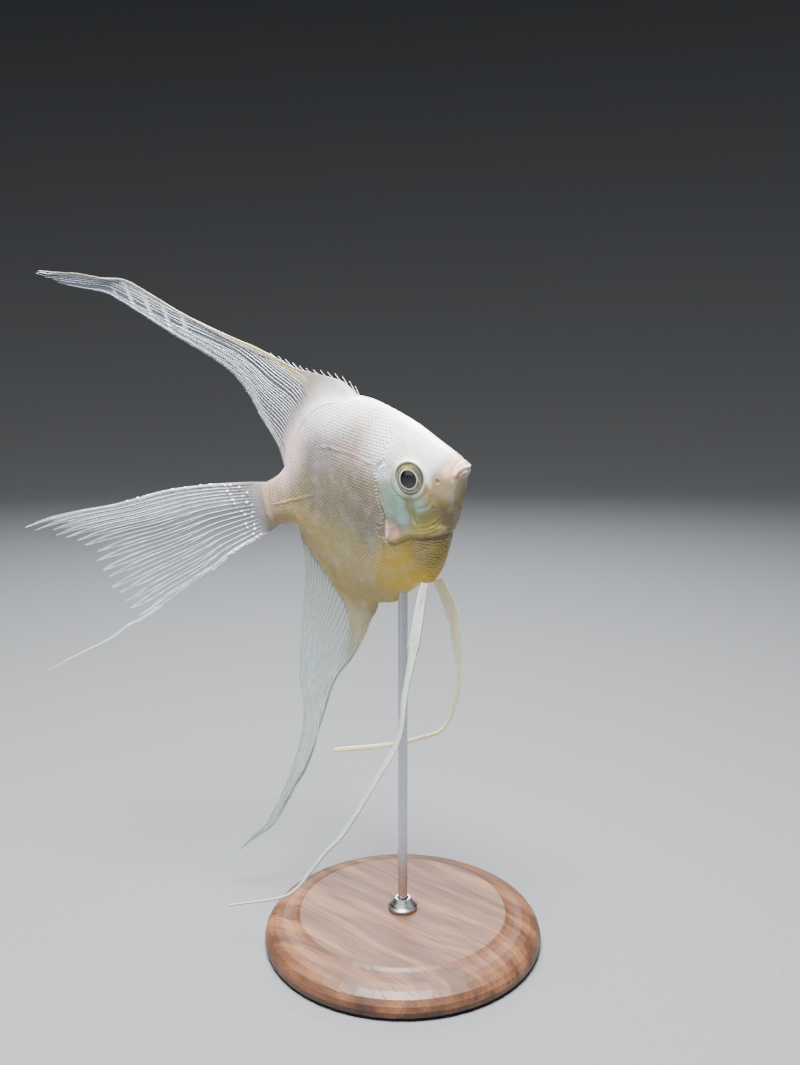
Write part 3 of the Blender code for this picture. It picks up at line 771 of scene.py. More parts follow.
def lie_of_scales(s, h, rise):
    """The free end's direction in s and h."""
    step = 0.01
    back_slope = (back(s + step) - back(s - step)) / (2.0 * step)
    belly_slope = (belly(s + step) - belly(s - step)) / (2.0 * step)
    slope = np.where(rise > 0, back_slope, belly_slope) * np.abs(rise) ** 1.6
    angle = np.arctan(np.clip(slope, -1.4, 1.4))
    on_breast = (1.0 - ease(0.30, 0.40, s)) * (1.0 - ease(-0.22, -0.18, h))
    return angle * (1.0 - on_breast) + BREAST_LIE * on_breast, on_breast


skin_lie, skin_breast = lie_of_scales(skin_s, skin_h, skin_rise)
below_gills = ease(0.0, 0.010, membrane_edge(skin_s) - GILL_GAP - skin_h) * (skin_s < 0.40)
behind_breast = ease(*BREAST_REAR, skin_s)
breast_scales = below_gills * (1.0 - behind_breast)
flank_scales = ease(0.0, 0.012, skin_s - gill_rear(skin_h) - GILL_GAP) * (skin_h > BREAST_TOP)
flank_scales = np.maximum(flank_scales, below_gills * behind_breast)
flank_scales = np.maximum(flank_scales, (skin_s > 0.395) * 1.0)
from_edge = np.minimum(back(skin_s) - skin_h, skin_h - belly(skin_s))
breast_scales *= ease(0.0, 0.012, from_edge)
flank_scales *= ease(0.0, 0.022, from_edge)
flank_scales *= 1.0 - ease(0.965, 0.985, skin_s - 0.012 * np.abs(skin_h))
pectoral_gap = np.hypot(skin_s - PECTORAL_ROOT[0] + 0.004, (skin_h - PECTORAL_ROOT[1]) * 0.8)
flank_scales *= ease(0.012, 0.022, pectoral_gap)
eye_gap = np.hypot(skin_s - EYE_AT[0], skin_h - EYE_AT[1])
in_front = 0.135 + 0.55 * np.maximum(0.02 - skin_h, 0.0) * (skin_h > BREAST_TOP)
face_scales = ease(0.0, 0.13, skin_s - in_front) * ease(*EYE_SKIN, eye_gap) * (1.0 - flank_scales)
face_scales *= ease(0.010, 0.020, from_edge)
face_scales *= (skin_h > -0.150) * (skin_s > 0.09)
print("share of the skin under scales:", round(float(flank_scales.mean()), 2),
      "and under fine head scales:", round(float(face_scales.mean()), 2))


# %% Build the skin
def corners_of(grid):
    """The four corners of each cell of a grid, going round."""
    return np.stack([grid[:-1, :-1], grid[:-1, 1:], grid[1:, 1:], grid[1:, :-1]], axis=2)


def skin_faces():
    """Quads round the rings, and a fan at each end."""
    ids = np.arange(SKIN_STATIONS * SKIN_RING).reshape(SKIN_STATIONS, SKIN_RING)
    ids = np.concatenate([ids, ids[:, :1]], axis=1)
    quads = corners_of(ids).reshape(-1, 4).tolist()
    snout_pole = SKIN_STATIONS * SKIN_RING
    fans = [[snout_pole, ids[0, k + 1], ids[0, k]] for k in range(SKIN_RING)]
    fans += [[snout_pole + 1, ids[-1, k], ids[-1, k + 1]] for k in range(SKIN_RING)]
    return quads, [[int(i) for i in fan] for fan in fans]


def flat_map():
    """The place of each grid corner on the flat map, for the right and the left side."""
    straight = place_straight(skin_s, skin_h, skin_w) / LENGTH
    steps = np.linalg.norm(np.diff(straight, axis=1), axis=-1)
    girth = np.concatenate([np.zeros((SKIN_STATIONS, 1)), np.cumsum(steps, axis=1)], axis=1)
    half = SKIN_RING // 2
    maps = []
    for start, way, column in ((0, 1.0, 0.02), (half, -1.0, 0.52)):
        middle = start + half // 2
        height = way * (girth[:, start:start + half + 1] - girth[:, middle:middle + 1])
        u = column + MAP_SCALE * skin_s[:, start:start + half + 1]
        maps.append(np.stack([u, 0.5 + MAP_SCALE * height], axis=-1))
    return maps


def make_skin(material):
    """The skin, with its flat map, the way its scales lie and the masks that say where they grow."""
    quads, fans = skin_faces()
    points = skin_points[:, :-1].reshape(-1, 3)
    poles = [skin_points[0, :-1].mean(axis=0), skin_points[-1, :-1].mean(axis=0)]
    skin = make_piece("skin", np.concatenate([points, poles]), quads + fans, material)
    corners = np.concatenate([corners_of(side_map) for side_map in flat_map()], axis=1).reshape(-1, 2)
    fan_corners = np.tile(corners[:1], (3 * len(fans), 1))
    layer = skin.data.uv_layers.new(name="OFBake")
    layer.data.foreach_set("uv", np.concatenate([corners, fan_corners]).astype(np.float32).ravel())
    where = np.stack([skin_s, skin_h, skin_w], axis=-1)[:, :-1].reshape(-1, 3)
    add_attribute(skin.data, "place", np.concatenate([where, where[:1], where[-1:]]))
    step_s, step_h = np.cos(skin_lie), np.sin(skin_lie)
    ahead = place(skin_s + 0.001 * step_s, skin_h + 0.001 * step_h) - place(skin_s, skin_h)
    lie = (ahead[:, :-1].reshape(-1, 3) @ fish_turn.T) * 1e4
    add_attribute(skin.data, "lie", np.concatenate([lie, lie[:1], lie[-1:]]))
    for name, mask in (("flank_scales", flank_scales), ("face_scales", face_scales),
                       ("breast_scales", breast_scales), ("breast", skin_breast)):
        values = mask[:, :-1].ravel()
        add_attribute(skin.data, name, np.concatenate([values, [0.0, 0.0]]))
    return skin


def make_skin_material():
    """Damp skin: its markings and shimmer under a thin clear coat, a little light passing through."""
    material, tree = new_material(
        "angelfish_skin", Roughness=0.42, Coat_Weight=0.16, Coat_Roughness=0.16, Specular_IOR_Level=0.35,
        Subsurface_Weight=0.22, Subsurface_Scale=0.0016, Subsurface_Radius=(1.0, 0.62, 0.45))
    at, shimmer = body_finish(tree)
    lined = use_group(tree, breast_group, {"Color": shimmer["Color"], "Place": at})
    grain = shimmer["Grain"] + noise(at, 120.0, 2.0) * 0.8
    return finish(material, Base_Color=lined["Color"],
                  Roughness=ramp(noise(at, 45.0, 3.0), 0.3, 0.7, 0.34, 0.5),
                  Normal=bump(grain, 0.00004, 0.5))


skin = make_skin(make_skin_material())
print("skin:", len(skin.data.polygons), "faces")

# %% [markdown]
# ## Scales
#
# Scales repeat over a surface, so Geometry Nodes place them. The tree lays a grid of
# points on the skin's flat map, shifts every second row sideways, looks up where each
# point lies on the skin, and sets one thin curved plate there with its free end along
# the lie. Realizing the instances turns them into one solid mesh for each side.
# The plates are far cheaper than sculpting, and their size and slope stay adjustable.


# %% One scale: a closed plate with a rounded free end
def make_scale_shape():
    """About one unit long along +X, its root sunk and its free end raised."""
    rim = 11
    outline = []
    for i in range(rim):
        angle = 2.0 * math.pi * i / rim
        x, y = math.cos(angle), math.sin(angle)
        outline.append((0.50 * x, 0.50 * y * (1.0 - 0.18 * (x < 0) * x * x)))
    rows = [[(x * k, y * k, lift) for x, y in outline] for k, lift in ((0.62, 0.050), (1.0, 0.0))]
    points = [(0.0, 0.0, 0.062)] + rows[0] + rows[1] + [(x, y, -0.035) for x, y in outline]
    tilt = math.radians(4.5)
    points = [(x, y, z + (x + 0.30) * math.tan(tilt)) for x, y, z in points]
    faces = []
    for i in range(rim):
        j = (i + 1) % rim
        faces.append((0, 1 + i, 1 + j))
        faces.append((1 + i, 1 + rim + i, 1 + rim + j, 1 + j))
        faces.append((1 + rim + i, 1 + 2 * rim + i, 1 + 2 * rim + j, 1 + rim + j))
    faces.append(tuple(1 + 2 * rim + i for i in reversed(range(rim))))
    shape = add_mesh("scale_shape", points, faces)
    margin = [max(math.cos(2.0 * math.pi * i / rim), 0.0) for i in range(rim)]
    add_attribute(shape.data, "margin", [0.0] + [0.35 * m for m in margin] + margin + margin)
    add_attribute(shape.data, "spot", [(x, y, 0.0) for x, y, _ in points])
    return shape


# %% The tree that lays rows of scales on the flat map
PATCH_ON_MAP = 0.003


def sample_skin(tree, skin_geometry, field, kind, flat, at):
    """A field of the skin, looked up at a place on its flat map."""
    feeds = {0: skin_geometry, 1: field, 2: flat, 3: at}
    return wrap(put(tree, "GeometryNodeSampleUVSurface", feeds, data_type=kind).outputs)


def named(tree, name, kind="FLOAT_VECTOR"):
    """A named attribute as a field."""
    return make(tree, "GeometryNodeInputNamedAttribute", {"Name": name}, data_type=kind)


def store(geometry, name, value, kind="FLOAT_VECTOR", domain="POINT"):
    """The geometry with a named attribute stored on it."""
    feeds = {"Geometry": geometry, "Name": name, "Value": value}
    return make(geometry.tree, "GeometryNodeStoreNamedAttribute", feeds, data_type=kind, domain=domain)


def make_scale_tree():
    """Lays a staggered grid of points on the flat map, and sets a scale on each where scales grow."""
    tree, given = new_group(
        "Rows of scales", "GeometryNodeTree",
        {"Geometry": "Geometry", "Row step": 0.006, "Column step": 0.006, "Scale length": 0.0015,
         "Scale width": 0.0012, "Map column": 0.25, "Grows where": "String", "Row shift": 0.5, "Seed": 4,
         "Shape": "Object", "Material": "Material"},
        {"Geometry": "Geometry"})
    span = 0.46
    across = span / given["Column step"]
    up = span / given["Row step"]
    grid = make(tree, "GeometryNodeMeshGrid", {0: span, 1: span, 2: across, 3: up})
    index = make(tree, "GeometryNodeInputIndex")
    column = calc("FLOOR", (index + 0.5) / calc("FLOOR", up))
    shift = calc("MODULO", column, 2.0) * (given["Row step"] * given["Row shift"])
    feeds = {0: (-1.0, -1.0, 0.0), 1: (1.0, 1.0, 0.0), 8: given["Seed"]}
    shake = make(tree, "FunctionNodeRandomValue", feeds, data_type="FLOAT_VECTOR")
    shake = scaled(shake, given["Row step"] * 0.03)
    at = make(tree, "ShaderNodeCombineXYZ", {0: given["Map column"], 1: shift + 0.5})
    at = at + shake + make(tree, "GeometryNodeInputPosition")
    rows = store(grid, "root_map", at)
    at = named(tree, "root_map")
    flat = named(tree, "OFBake")
    skin_normal = make(tree, "GeometryNodeInputNormal")
    skin_position = make(tree, "GeometryNodeInputPosition")
    source = given["Geometry"]
    found = sample_skin(tree, source, skin_position, "FLOAT_VECTOR", flat, at)
    rows = store(rows, "root_at", found[0])
    for name, field, kind in (("root_normal", skin_normal, "FLOAT_VECTOR"),
                              ("root_lie", named(tree, "lie"), "FLOAT_VECTOR"),
                              ("place", named(tree, "place"), "FLOAT_VECTOR"),
                              ("grows", named(tree, given["Grows where"], "FLOAT"), "FLOAT"),
                              ("breast", named(tree, "breast", "FLOAT"), "FLOAT")):
        rows = store(rows, name, sample_skin(tree, source, field, kind, flat, at)[0], kind)
    bare = calc("LESS_THAN", named(tree, "grows", "FLOAT"), 0.5)
    missed = 1.0 - found[1]
    rows = make(tree, "GeometryNodeDeleteGeometry", {0: rows, 1: calc("MAXIMUM", bare, missed)})
    rows = make(tree, "GeometryNodeSetPosition", {0: rows, 2: named(tree, "root_at")})
    turn = make(tree, "FunctionNodeAlignRotationToVector", {"Vector": named(tree, "root_normal")}, axis="Z")
    feeds = {"Rotation": turn, "Vector": named(tree, "root_lie")}
    turn = make(tree, "FunctionNodeAlignRotationToVector", feeds, axis="X", pivot_axis="Z")
    vary = make(tree, "FunctionNodeRandomValue", {2: 0.97, 3: 1.03, 8: given["Seed"] + 1.0}, 1)
    feeds = {0: named(tree, "grows", "FLOAT"), 1: 0.5, 2: 1.0, 3: 0.45, 4: 1.0}
    vary = vary * make(tree, "ShaderNodeMapRange", feeds)
    width = given["Scale width"]
    size = scaled(make(tree, "ShaderNodeCombineXYZ", {0: given["Scale length"], 1: width, 2: width}), vary)
    plate = make(tree, "GeometryNodeObjectInfo", {0: given["Shape"]}, "Geometry")
    points = make(tree, "GeometryNodeMeshToPoints", {0: rows})
    feeds = {"Points": points, "Instance": plate, "Rotation": turn, "Scale": size}
    coat = make(tree, "GeometryNodeInstanceOnPoints", feeds)
    coat = make(tree, "GeometryNodeRealizeInstances", {0: coat})
    nearest = make(tree, "GeometryNodeSampleNearestSurface", {0: source, "Value": named(tree, "place")},
                   data_type="FLOAT_VECTOR")
    coat = store(coat, "place", nearest)
    patch = named(tree, "root_map") + scaled(named(tree, "spot"), PATCH_ON_MAP)
    coat = store(coat, "OFBake", patch, "FLOAT2", "CORNER")
    coat = make(tree, "GeometryNodeSetMaterial", {0: coat, 2: given["Material"]})
    return give(tree, Geometry=coat)


# %% Run a tree on a mesh and keep the plain result
def grow(name, source_mesh, tree, values):
    """A new object that holds what the tree makes of the mesh, with no modifier left."""
    piece = add_object(name, source_mesh)
    modifier = piece.modifiers.new("grow", "NODES")
    modifier.node_group = tree
    for socket in tree.interface.items_tree:
        if socket.in_out == "INPUT" and socket.name in values:
            modifier[socket.identifier] = values[socket.name]
    graph = bpy.context.evaluated_depsgraph_get()
    mesh = bpy.data.meshes.new_from_object(piece.evaluated_get(graph), preserve_all_data_layers=True,
                                           depsgraph=graph)
    piece.modifiers.clear()
    piece.data = mesh
    mesh.name = name
    mesh.materials.clear()
    mesh.materials.append(values["Material"])
    return piece


def keep_attributes(mesh, wanted):
    """Drops the working attributes that only the tree needed."""
    for name in [a.name for a in mesh.attributes if not a.is_required]:
        if name in mesh.attributes and name not in wanted and not name.startswith("."):
            mesh.attributes.remove(mesh.attributes[name])


def make_scale_material():
    """The colour of the skin below, a trace of pearl, and a faint dark rim, fainter on the breast."""
    material, tree = new_material(
        "pearl_scales", Roughness=0.4, Coat_Weight=0.16, Coat_Roughness=0.18, Specular_IOR_Level=0.35,
        Subsurface_Weight=0.15, Subsurface_Scale=0.0010, Subsurface_Radius=(1.0, 0.62, 0.45))
    at, shimmer = body_finish(tree)
    margin = read(tree, "margin", "Fac")
    on_breast = read(tree, "breast", "Fac")
    glow = blend((1.0 - margin) * 0.04, shimmer["Color"], (250, 246, 244))
    line = ramp(margin, 0.45, 1.0) * ramp(on_breast, 0.0, 1.0, 0.24, 0.1)
    dark = blend(0.75, glow, (120, 92, 60), "MULTIPLY")
    lined = use_group(tree, breast_group, {"Color": blend(line, glow, dark), "Place": at})
    return finish(material, Base_Color=lined["Color"],
                  Roughness=ramp(noise(at, 60.0, 2.0), 0.3, 0.7, 0.32, 0.48),
                  Normal=bump(shimmer["Grain"], 0.00002, 0.5))


# region: step from column to column and from row to row on the map, scale length and width in metres,
# and how far every second row is shifted
COATS = {
    "flank": (0.0062, 0.0056, 0.00150, 0.00110, 0.5),
    "breast": (0.0050, 0.0045, 0.00118, 0.00092, 0.22),
    "face": (0.0040, 0.0036, 0.00092, 0.00070, 0.5),
}
COAT_SIZES = ("Column step", "Row step", "Scale length", "Scale width", "Row shift")


def make_coats():
    """Flank and breast scales, and finer ones on the head, for each side."""
    shape, tree, material = make_scale_shape(), make_scale_tree(), make_scale_material()
    faces_each = len(shape.data.polygons)
    coats = []
    for side, column in (("right", 0.25), ("left", 0.75)):
        for region, sizes in COATS.items():
            values = {"Map column": column, "Grows where": region + "_scales", "Seed": 7, "Shape": shape,
                      "Material": material, **dict(zip(COAT_SIZES, sizes))}
            coat = grow(f"{region}_scales_{side}", skin.data, tree, values)
            keep_attributes(coat.data, ("place", "margin", "breast", "OFBake"))
            coats.append(coat)
            print(coat.name, len(coat.data.polygons) // faces_each, "scales")
    bpy.data.objects.remove(shape)
    return coats


coats = make_coats()

# %% [markdown]
# ## Fins
#
# A fin is a fan of bony rays joined by clear film. Each fin here is one sheet given by a
# formula: a runs across the fin from its front edge to its rear edge, and t runs from its
# root to its margin. The film is that sheet with a little thickness, thick and fleshy at
# the root. The rays are lines drawn on the same sheet, which Geometry Nodes turns into
# jointed rods. Drawing both from one formula keeps every ray in its film.


# %% Sheets: from a and t to a place and the way its side faces
def four_sided(front, rear, base, margin):
    """A smooth sheet between four edges, in s and h."""
    def at(a, t):
        a, t = np.broadcast_arrays(np.asarray(a, float), np.asarray(t, float))
        inner = np.clip(t, 0.0, 1.0)
        a1, t1 = a[..., None], t[..., None]
        zero, one = np.zeros_like(inner), np.ones_like(inner)
        corners = ((1 - a1) * (1 - t1) * front(zero) + a1 * (1 - t1) * rear(zero)
                   + (1 - a1) * t1 * front(one) + a1 * t1 * rear(one))
        across = np.clip(a, 0.0, 1.0)
        return ((1 - a1) * front(inner) + a1 * rear(inner) + (1 - t1) * base(across)
                + t1 * margin(across) - corners)
    return at


def upright_sheet(outline, ripples, ripple_size, wave):
    """A sheet on the middle plane, gently waved and pleated between its rays."""
    def at(a, t):
        flat = outline(a, t)
        pleat = ripple_size * np.sin(2.0 * math.pi * ripples * a) * ease(0.05, 0.4, t)
        bend = wave * np.sin(2.6 * t + 1.7 * a) * ease(0.1, 0.9, t)
        points = place(flat[..., 0], flat[..., 1], pleat + bend)
        return points, np.broadcast_to(np.array((0.0, -1.0, 0.0)), points.shape)
    return at


ROOT_DEPTH = 0.040


def root_line(start, end, edge, rise):
    """A fin's root, sunk into the body along the back or the belly."""
    def at(a):
        s = start + (end - start) * a
        return np.stack([s, edge(s) + rise], axis=-1)
    return at


dorsal_base = root_line(0.377, 0.883, back, -ROOT_DEPTH)
anal_base = root_line(0.566, 0.887, belly, ROOT_DEPTH)


def tail_base(a):
    """The tail's root, sunk into the end of the tail stem."""
    return np.stack([0.968 + 0.0 * a, 0.096 - 0.166 * a], axis=-1)


DORSAL_FRONT = [(0.46, 0.394), (0.56, 0.442), (0.65, 0.473), (0.77, 0.544), (0.865, 0.601), (0.99, 0.698),
                (1.11, 0.819), (1.217, 0.945), (1.282, 1.014), (1.347, 1.039), (1.447, 1.093), (1.584, 1.149)]
DORSAL_REAR = [(0.886, 0.218), (0.906, 0.293), (0.929, 0.359), (0.947, 0.438), (0.98, 0.521), (1.024, 0.589),
               (1.165, 0.746), (1.299, 0.904), (1.376, 0.988), (1.45, 1.03), (1.582, 1.106), (1.618, 1.140)]
ANAL_FRONT = [(0.609, -0.472), (0.658, -0.515), (0.713, -0.577), (0.81, -0.664), (0.914, -0.744),
              (1.006, -0.872), (1.093, -1.008), (1.145, -1.087), (1.223, -1.179), (1.318, -1.306),
              (1.398, -1.362), (1.505, -1.424)]
ANAL_REAR = [(0.904, -0.20), (0.922, -0.285), (0.966, -0.396), (1.012, -0.524), (1.052, -0.638),
             (1.075, -0.721), (1.082, -0.80), (1.11, -0.91), (1.165, -1.03), (1.243, -1.165),
             (1.332, -1.288), (1.405, -1.345), (1.512, -1.416)]
TAIL_TOP = [(1.041, 0.113), (1.144, 0.135), (1.242, 0.155), (1.378, 0.170), (1.565, 0.168), (1.698, 0.178),
            (1.850, 0.182), (1.950, 0.174)]
TAIL_END = [(1.950, 0.174), (1.850, 0.112), (1.745, 0.044), (1.715, -0.030), (1.690, -0.110),
            (1.676, -0.200), (1.630, -0.285), (1.600, -0.330)]
TAIL_BOTTOM = [(1.025, -0.094), (1.184, -0.150), (1.265, -0.194), (1.422, -0.257), (1.540, -0.308),
               (1.600, -0.330)]


def edge_from(base, a, points):
    """A fin's edge, from its corner on the body out to its tip."""
    return along([tuple(base(np.array(a)))] + points)


def between(first, last):
    """A short straight margin."""
    return lambda a: np.asarray(a)[..., None] * (np.array(last) - np.array(first)) + np.array(first)


def fin_outline(base, front, rear, margin=None):
    """A fin in s and h. Its margin runs straight from edge to edge where none is given."""
    return four_sided(edge_from(base, 0.0, front), edge_from(base, 1.0, rear), base,
                      margin or between(front[-1], rear[-1]))


dorsal_outline = fin_outline(dorsal_base, DORSAL_FRONT, DORSAL_REAR)
anal_outline = fin_outline(anal_base, ANAL_FRONT, ANAL_REAR)
tail_outline = fin_outline(tail_base, TAIL_TOP, TAIL_BOTTOM, along(TAIL_END))
dorsal_sheet = upright_sheet(dorsal_outline, 19.0, 0.0016, 0.012)
anal_sheet = upright_sheet(anal_outline, 17.0, 0.0016, -0.010)
tail_sheet = upright_sheet(tail_outline, 16.0, 0.0012, 0.010)


FILM_HALF = 0.00005
FALL_STEP = 0.004


def fleshy_root(outline, base, depth, slope_from_body):
    """Half the film's thickness, in metres: it leaves the body's side smoothly and thins outwards."""
    def half(a, t):
        root = base(np.clip(a, 0.0, 1.0) + 0.0 * t)
        at = outline(a, t)
        gone = np.hypot(at[..., 0] - root[..., 0], at[..., 1] - root[..., 1])
        inward = np.sign(root[..., 1])
        meet = root[..., 1] + inward * depth * slope_from_body
        thick = half_width(root[..., 0], meet)
        if slope_from_body:
            step = FALL_STEP * inward
            fall = half_width(root[..., 0], meet - step) - half_width(root[..., 0], meet + step)
            run = np.clip(2.0 * FALL_STEP * thick / np.maximum(fall, 1e-4), 0.025, 0.060)
            thick = thick * ease(-0.01, 0.09, a) * ease(-0.01, 0.05, 1.0 - a)
        else:
            run = 0.045
            thick = thick - 0.0022
        return FILM_HALF + LENGTH * thick * np.exp(-np.maximum(gone - depth, 0.0) / run)
    return half


dorsal_root = fleshy_root(dorsal_outline, dorsal_base, 0.010, True)
anal_root = fleshy_root(anal_outline, anal_base, 0.010, True)
tail_root = fleshy_root(tail_outline, tail_base, 0.03, False)
print("dorsal tip in mm:", (to_room(dorsal_sheet(0.0, 1.0)[0]) * 1000).round(1))


# %% Pectoral fans and feelers as sheets
PECTORAL_LIFT, PECTORAL_OUT = math.radians(14.0), math.radians(100.0)
PECTORAL_SPREAD, PECTORAL_LENGTH = math.radians(78.0), 0.27


def pectoral_sheet(sign):
    """A cupped fan that stands out from the flank, longest near its upper edge."""
    turned = np.array(Euler((0.0, -PECTORAL_LIFT, sign * PECTORAL_OUT)).to_matrix())
    root_w = half_width(*PECTORAL_ROOT) - SKIN_DEPTH
    root = place(*PECTORAL_ROOT, sign * root_w)

    def at(a, t):
        a, t = np.broadcast_arrays(np.asarray(a, float), np.asarray(t, float))
        angle = PECTORAL_SPREAD * (0.5 - a)
        reach = PECTORAL_LENGTH * (1.0 - 0.45 * np.abs(a - 0.35) ** 1.4) * t
        out = np.cos(angle) * reach
        up = np.sin(angle) * reach + 0.028 * (1.0 - 2.0 * a) * (1.0 - t)
        cup = sign * (0.030 * t * t - 0.020 * t + 0.010 * np.sin(5.0 * a) * t * t)
        fan = np.stack([-out, cup, up], axis=-1) * LENGTH
        side = np.broadcast_to(turned @ np.array((0.0, 1.0, 0.0)), fan.shape)
        return root + fan @ turned.T, side
    return at


FEELER_FACES = np.array((0.45, -0.89, 0.0))
# s, h and w from root to tip
FEELER_RIGHT = [
    (0.300, -0.376, 0.036), (0.313, -0.412, 0.048), (0.347, -0.515, 0.076), (0.392, -0.641, 0.110),
    (0.443, -0.772, 0.146), (0.497, -0.928, 0.183), (0.602, -1.069, 0.256), (0.733, -1.231, 0.346),
    (0.819, -1.305, 0.404), (0.884, -1.369, 0.448), (0.945, -1.426, 0.489), (1.013, -1.449, 0.532),
    (1.194, -1.445, 0.638),
]
FEELER_LEFT = [
    (0.299, -0.380, -0.036), (0.294, -0.454, -0.053), (0.300, -0.537, -0.070), (0.324, -0.635, -0.079),
    (0.366, -0.783, -0.092), (0.389, -0.841, -0.092), (0.422, -0.901, -0.087), (0.462, -0.960, -0.078),
    (0.504, -0.997, -0.064), (0.553, -1.012, -0.047), (0.713, -1.032, 0.005), (0.975, -1.032, 0.086),
]
# share of the way, and breadth in metres: it steps down wherever a ray ends
RIGHT_WIDTHS = [
    (0.0, 0.0013), (0.03, 0.0020), (0.06, 0.0023), (0.11, 0.0026), (0.148, 0.0027), (0.162, 0.0020),
    (0.20, 0.0018), (0.28, 0.0014), (0.60, 0.0011), (1.0, 0.0005),
]
LEFT_WIDTHS = [
    (0.0, 0.0022), (0.05, 0.0028), (0.09, 0.0031), (0.135, 0.0032), (0.150, 0.0024), (0.19, 0.0022),
    (0.27, 0.0019), (0.285, 0.0014), (0.36, 0.0011), (0.60, 0.0010), (0.78, 0.0012), (0.97, 0.0013),
    (1.0, 0.0008),
]


def feeler_sheet(points, widths):
    """A narrow blade along a free path."""
    path, breadth = along(points), profile(widths)

    def at(a, t):
        a, t = np.broadcast_arrays(np.asarray(a, float), np.asarray(t, float))
        centre, ahead, behind = (place_straight(*np.moveaxis(path(np.clip(t + step, 0.0, 1.0)), -1, 0))
                                 for step in (0.0, 0.004, -0.004))
        run = ahead - behind
        run /= np.linalg.norm(run, axis=-1, keepdims=True)
        faces = FEELER_FACES - run * (run @ FEELER_FACES)[..., None]
        faces /= np.linalg.norm(faces, axis=-1, keepdims=True)
        wide = np.cross(run, faces)
        return centre + wide * ((a - 0.5) * breadth(t))[..., None], faces
    return at


# %% Film: a sheet with a thickness
def make_film(name, sheet, across, out, material, half, outline=None, margin_cut=None):
    """A closed film of two faces and a rim, with its half thickness given as a function."""
    a = np.linspace(0.0, 1.0, across)[:, None]
    t = np.linspace(0.0, 1.0, out)[None, :] ** 1.35
    reach = margin_cut(a) if margin_cut else 1.0
    points, side = sheet(a + 0.0 * t, t * reach)
    edge = np.minimum(np.minimum(a, 1.0 - a) * across / 2.0, 1.0)
    thick = half(a, t * reach) * (0.35 + 0.65 * edge)
    faces_out = [points + side * thick[..., None], points - side * thick[..., None]]
    ids = np.arange(across * out).reshape(across, out)
    quads = corners_of(ids).reshape(-1, 4)
    border = np.concatenate([ids[:-1, 0], ids[-1, :-1], ids[:0:-1, -1], ids[0, :0:-1]])
    after = np.roll(border, -1)
    other = across * out
    rim = np.stack([border, after, after + other, border + other], axis=-1)
    faces = np.concatenate([quads[:, ::-1], quads + other, rim]).tolist()
    film = make_piece(name, np.stack(faces_out).reshape(-1, 3), faces, material)
    face_outwards(film.data)
    across_share = np.broadcast_to(a, (across, out))
    out_share = np.broadcast_to(t * reach, (across, out))
    fin = np.stack([across_share, out_share, 0.0 * across_share], axis=-1).reshape(-1, 3)
    add_attribute(film.data, "fin", np.concatenate([fin, fin]))
    if outline:
        at = outline(a + 0.0 * t, t * reach)
        where = np.concatenate([at, 0.0 * at[..., :1]], axis=-1).reshape(-1, 3)
        add_attribute(film.data, "place", np.concatenate([where, where]))
    return film


# %% Rays: lines on the sheet that fork on their way out
# how thick a ray is before its first fork, between the forks, and after the second
FORK_THICKNESS = (1.0, 0.82, 0.68)


def forked(start, end, spread, forks, thick, tip_thick=0.35, overshoot=0.0, steps=40, tuft=0.0):
    """The branches of one ray, each a list of a, t, thickness and x, its share of the way."""
    first, second = forks
    stages = [(0.0, first, [(0.0, 0.0)]), (first, second, [(0.0, -1.0), (0.0, 1.0)])]
    if second < 1.0:
        stages.append((second, 1.0, [(-1.0, -1.6), (-1.0, -0.5), (1.0, 0.5), (1.0, 1.6)]))
    lines = []
    for (low, high, offsets), share in zip(stages, FORK_THICKNESS):
        x = np.linspace(low, high, max(int(steps * (high - low)), 4))
        a = start + (end[0] - start) * x
        t = end[1] * x + overshoot * x ** 6
        for near, far in offsets:
            drift = near + (far - near) * ease(low, high + 0.15 * (high - low), x)
            drift = drift * (1.0 - tuft * ease(0.80, 1.0, x))
            weight = thick * share * (1.0 - (1.0 - tip_thick) * x)
            lines.append((a + spread * drift, t, weight, x))
    return lines


def on_sheet(sheet, lines):
    """Lines in a and t as strands: points, thickness and fin place."""
    strands = []
    for a, t, weight, x in lines:
        a, t = np.broadcast_to(a, x.shape), np.broadcast_to(t, x.shape)
        strands.append((sheet(a, t)[0], weight, np.stack([a, t, x], axis=-1)))
    return strands


def ray_mesh(name, strands):
    """All strands as one mesh of edges, with a thickness and a fin place at each point."""
    points, edges, thick, fin = [], [], [], []
    for at, weight, where in strands:
        first = sum(len(p) for p in points)
        points.append(to_room(at))
        thick.append(weight)
        fin.append(where)
        edges += [(first + i, first + i + 1) for i in range(len(at) - 1)]
    mesh = bpy.data.meshes.new(name)
    mesh.from_pydata(np.concatenate(points).tolist(), edges, [])
    add_attribute(mesh, "thick", np.concatenate(thick))
    add_attribute(mesh, "fin", np.concatenate(fin))
    return mesh


